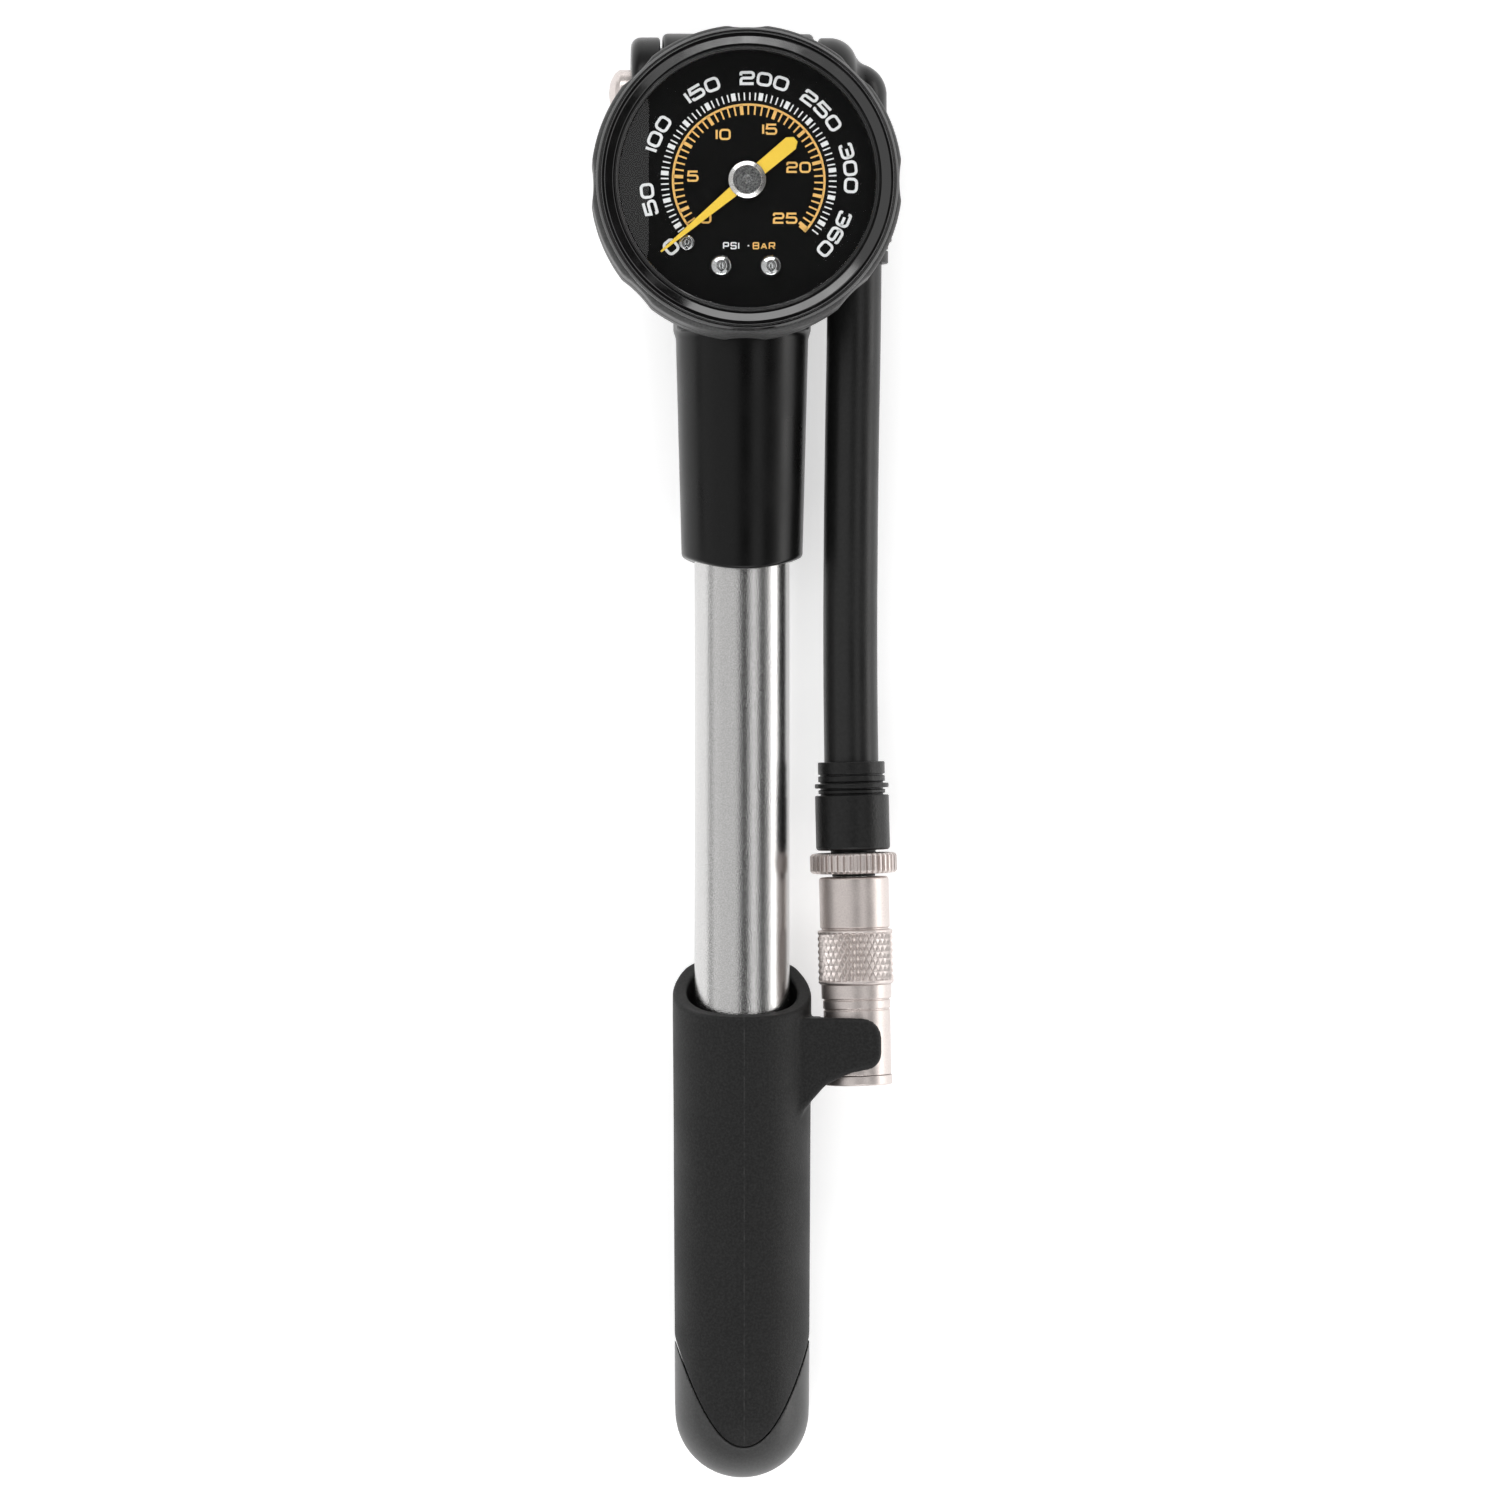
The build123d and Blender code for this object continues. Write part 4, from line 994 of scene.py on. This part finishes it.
# ---- swivel, hose and collars
def elbow_field(p):
    """Round disc with a soft shoulder, run into an elbow and its leg."""
    x, y, z = p[..., 0], p[..., 1], p[..., 2]
    rho = about_cross(p)
    inner, outer, radius, shoulder = 11.6, 17.6, 8.7, 4.2
    leg_r, leg_end = 4.9, 88.5
    wheel = common(rho - radius, x - outer, shoulder)
    wheel = common(wheel, inner - x, 0.6)
    leg_line = np.hypot(x - LEG_X, z - AXIS_Z)
    ball = np.sqrt((x - LEG_X) ** 2 + (y - CROSS_Y) ** 2 + (z - AXIS_Z) ** 2) - leg_r
    leg = common(np.where(y > CROSS_Y, ball, leg_line - leg_r), leg_end - y, 0.25)
    made = fuse(wheel, leg, 1.2)
    made = cut(made, disc(6.5, 10, 13.45, rho, x, 0.1), 0.15)
    return cut(made, disc(4.7, 10, 15.1, rho, x, 0.1), 0.1)


formed("swivel_elbow", "head_plastic", elbow_field, [
    spaced(10.9, 22.8, 0.22),
    spaced(87.8, 110.4, 0.24),
    spaced(1.3, 19.9, 0.22),
])


def collar_outline(start, end, *foot):
    """Half section of a ribbed collar from the hose's side to its end; foot adds points at that end."""
    ridge, groove, full = 5.12, 4.8, 5.66
    steps = [(0.0, ridge), (1.9, groove), (2.15, ridge), (3.05, groove), (3.3, full), (4.0, groove)]
    steps += [(4.25, ridge), (4.85, groove), (5.1, full), (end, full)]
    points = [(4.17, start)]
    for (low, radius), (high, _) in zip(steps, steps[1:]):
        size = 0.08 if radius == groove else 0.18
        points += [(radius, start + low, size), (radius, start + high, 0.5 if high == end else size)]
    return points + [*foot, (3.4, start + 13.2), (3.4, start + 9), (4.17, start + 9)]


COLLAR_NECK = [(3.45, 13.5, 0.05), (3.45, 13.86, 0.05), (2.06, 13.86, 0.05), (2.06, 13.22, 0.05)]
for name, line, outline in (
    ("upper_collar", LEG, collar_outline(75.3, 13.2)),
    ("lower_collar", CHUCK, collar_outline(0.0, 13.5, *COLLAR_NECK)),
):
    turned(name, "collar_plastic", line, 128, outline)

HOSE_ROUTE = [(LEG_X, 84.2), (LEG_X, 70.0), (16.72, 44.0), (16.478, 9.047), (16.907, -9.848)]
HOSE_LENGTH, HOSE_WIDTH = 94.1, 8.3
hose_data = bpy.data.curves.new("hose_visual", "CURVE")
hose_data.dimensions = "3D"
hose_line = hose_data.splines.new("NURBS")
hose_line.points.add(len(HOSE_ROUTE) - 1)
for point, (x, y) in zip(hose_line.points, HOSE_ROUTE):
    point.co = (x * MM, y * MM, AXIS_Z * MM, 1.0)
hose_line.order_u = 3
hose_line.use_endpoint_u = True
hose_line.resolution_u = 32
hose_data.bevel_depth = HOSE_WIDTH / 2 * MM
hose_data.bevel_resolution = 12
hose_data.use_fill_caps = True
hose = in_scene("hose_visual", hose_data)
stand_for(hose, materials["hose_rubber"], "hose")


# ---- chuck
WHEEL_R = 6.66
SOCKET_R = 3.87  # the socket for the valve's thread
STEM_HOLE_R = 2.12  # the hole that the stem from the hose passes through


def wheel_shape(radius, height, theta):
    """Rounded teeth round the rim."""
    teeth, root, tip = 40, 6.21, WHEEL_R
    tooth = np.clip(0.5 + 1.1 * np.cos(teeth * theta), 0, 1)
    tooth = tooth * tooth * (3 - 2 * tooth)
    return np.where(radius > 5.9, radius - (tip - root) * (1 - tooth), radius)


turned("thumb_wheel", "chuck_nickel", CHUCK, 400, [
    (STEM_HOLE_R, 13.9), (5.4, 13.9, 0.2), (6.35, 14.0, 0.25), (WHEEL_R, 14.35, 0.25),
    (WHEEL_R, 16.65, 0.25), (6.35, 17.0, 0.25), (5.4, 17.1, 0.2), (STEM_HOLE_R, 17.1),
    (STEM_HOLE_R, 16.5), (3.4, 16.5), (3.4, 14.1), (STEM_HOLE_R, 14.1),
], shape=wheel_shape, angle=50)
turned("wheel_washer", "seal_rubber", CHUCK, 96, [
    (2.04, 17.2), (3.3, 17.2), (3.3, 17.5), (2.04, 17.5),
], edge=0.08)

KNURL_COUNT, KNURL_TALL = 34, 2.0  # diamonds round the chuck, and the height of each
KNURL_LOW, KNURL_HIGH = 26.0, 33.5
KNURL_R, KNURL_DEPTH = 5.75, 0.46
KNURL_ROWS = 75


def knurl_shape(radius, height, theta):
    """Two crossing families of V grooves that leave small pyramids."""
    turns = theta * KNURL_COUNT / (2 * pi)
    climbs = height / KNURL_TALL
    one = np.abs((turns + climbs) % 1 - 0.5) * 2
    two = np.abs((turns - climbs) % 1 - 0.5) * 2
    ridge = np.clip(np.minimum(one, two) * 1.15, 0, 1)
    fade = np.clip(np.minimum(height - KNURL_LOW, KNURL_HIGH - height) / 0.25, 0, 1)
    worked = (radius > KNURL_R - 0.05) & (height > KNURL_LOW) & (height < KNURL_HIGH)
    return np.where(worked, radius - KNURL_DEPTH * (1 - ridge) * fade, radius)


knurl_rows = []
for k in range(KNURL_ROWS + 1):
    knurl_rows.append((KNURL_R, KNURL_LOW + (KNURL_HIGH - KNURL_LOW) * k / KNURL_ROWS, 0))
turned("chuck_body", "chuck_nickel", CHUCK, KNURL_COUNT * 12, [
    (STEM_HOLE_R, 17.6), (5.33, 17.6, 0.45), (5.33, 25.3, 0.12), (5.1, 25.42, 0.05),
    (5.1, 25.6, 0.05), (KNURL_R, 25.75, 0.15), *knurl_rows, (KNURL_R, 33.72, 0.15),
    (5.5, 34.0, 0.12), (4.0, 34.0), (4.0, 23.9), (STEM_HOLE_R, 23.9),
], shape=knurl_shape, angle=80)
turned("valve_coupler", "chuck_nickel", CHUCK, 144, [
    (STEM_HOLE_R, 26.3), (3.98, 26.3), (3.98, 34.0), (5.35, 34.02, 0.12), (5.35, 36.15, 0.1),
    (5.02, 36.25, 0.04), (5.02, 36.4, 0.04), (5.16, 36.5, 0.06), (5.16, 37.65, 0.08),
    (4.95, 37.75, 0.04), (4.95, 37.92, 0.04), (5.1, 38.02, 0.06), (5.1, 47.86, 0.12),
    (SOCKET_R, 47.88), (SOCKET_R, 41.5), (3.6, 41.5), (3.6, 40.0), (STEM_HOLE_R, 40.0),
])
turned("coupler_end_ring", "chuck_nickel", CHUCK, 144, [
    (SOCKET_R, 47.92, 0.05), (5.2, 47.92, 0.12), (5.2, 49.4, 0.25), (SOCKET_R, 49.4, 0.3),
])


# ---- studio
def floor_material():
    """Pale paper, with a faint mottle and a little light of its own."""
    made = Shader("floor_paper", (0.9, 0.9, 0.9), 0.9, Specular_IOR_Level=0.1)
    made.tint(made.noise(60.0, 2.0), (0.89, 0.89, 0.89), (0.91, 0.91, 0.91))
    made.put("Emission Color", (1.0, 1.0, 1.0, 1.0))
    made.put("Emission Strength", 0.5)
    return made.material


FLOOR_HALF, FLOOR_LOW = 3000, -6.0
floor_corners = [(-1, -1), (1, -1), (1, 1), (-1, 1)]
floor = slabs("floor", [[(x * FLOOR_HALF, y * FLOOR_HALF) for x, y in floor_corners]], FLOOR_LOW, 0.0)
floor.data.materials.append(floor_material())

MIDDLE = Vector((0.0, 0.0, 0.02))


def softbox(name, towards, distance, level, climb, radiance, tone=(1.0, 1.0, 1.0)):
    """A rectangular light that faces the pump, with its size level with the floor and up the arc overhead."""
    data = bpy.data.lights.new(name, "AREA")
    data.shape = "RECTANGLE"
    data.size, data.size_y = level, climb
    data.energy = radiance * pi * level * climb
    data.color = tone
    light = in_scene(name, data)
    way = Vector(towards).normalized()
    light.location = MIDDLE + way * distance
    light.rotation_euler = way.to_track_quat("Z", "Y").to_euler()


def from_vertical(angle):
    """The direction at an angle from straight up, positive to the right."""
    return sin(radians(angle)), 0.0, cos(radians(angle))


softbox("left_box", from_vertical(-43.5), 0.9, 1.8, 1.33, 0.8)
softbox("right_strip", from_vertical(82.5), 0.9, 1.5, 0.26, 2.2, (1.0, 0.98, 0.96))
softbox("fill_box", from_vertical(27), 0.9, 1.5, 0.34, 1.1)
softbox("top_box", (-0.15, 1.0, 0.78), 1.1, 1.0, 0.3, 3.4)
softbox("foot_box", (0.0, -1.0, 1.1), 1.1, 1.1, 0.24, 5.0)

# The world is bright near the horizon, more so on the right, and nearly dark overhead.
world = bpy.data.worlds.new("studio")
bpy.context.scene.world = world
world.use_nodes = True
nodes, links = world.node_tree.nodes, world.node_tree.links
nodes.clear()
coords = nodes.new("ShaderNodeTexCoord")
parts = nodes.new("ShaderNodeSeparateXYZ")
product = nodes.new("ShaderNodeMath")
product.operation = "MULTIPLY"
background = nodes.new("ShaderNodeBackground")
output = nodes.new("ShaderNodeOutputWorld")
links.new(coords.outputs["Generated"], parts.inputs[0])
for axis, factor, limits in (
    ("Z", product.inputs[0], (0.15, 0.6, 1.0, 0.05)),
    ("X", product.inputs[1], (-1.0, 1.0, 0.3, 1.5)),
):
    ramp = nodes.new("ShaderNodeMapRange")
    for socket, value in zip(("From Min", "From Max", "To Min", "To Max"), limits):
        ramp.inputs[socket].default_value = value
    links.new(parts.outputs[axis], ramp.inputs["Value"])
    links.new(ramp.outputs["Result"], factor)
links.new(product.outputs[0], background.inputs["Strength"])
links.new(background.outputs[0], output.inputs[0])

camera_data = bpy.data.cameras.new("camera")
camera = in_scene("camera", camera_data)
camera_data.sensor_width = 36.0
camera_data.lens = 156.9
LOOK_AT = Vector((1.22 * MM, 0.85 * MM, AXIS_Z * MM))
LEAN = radians(1.9)  # the camera stands a little to the left of straight up
camera.location = LOOK_AT + Vector((-sin(LEAN), 0.0, cos(LEAN)))  # a metre away
camera.rotation_euler = (0.0, -LEAN, 0.0)
camera_data.clip_start, camera_data.clip_end = 0.05, 20.0
bpy.context.scene.camera = camera
bpy.context.scene.view_settings.view_transform = "Standard"
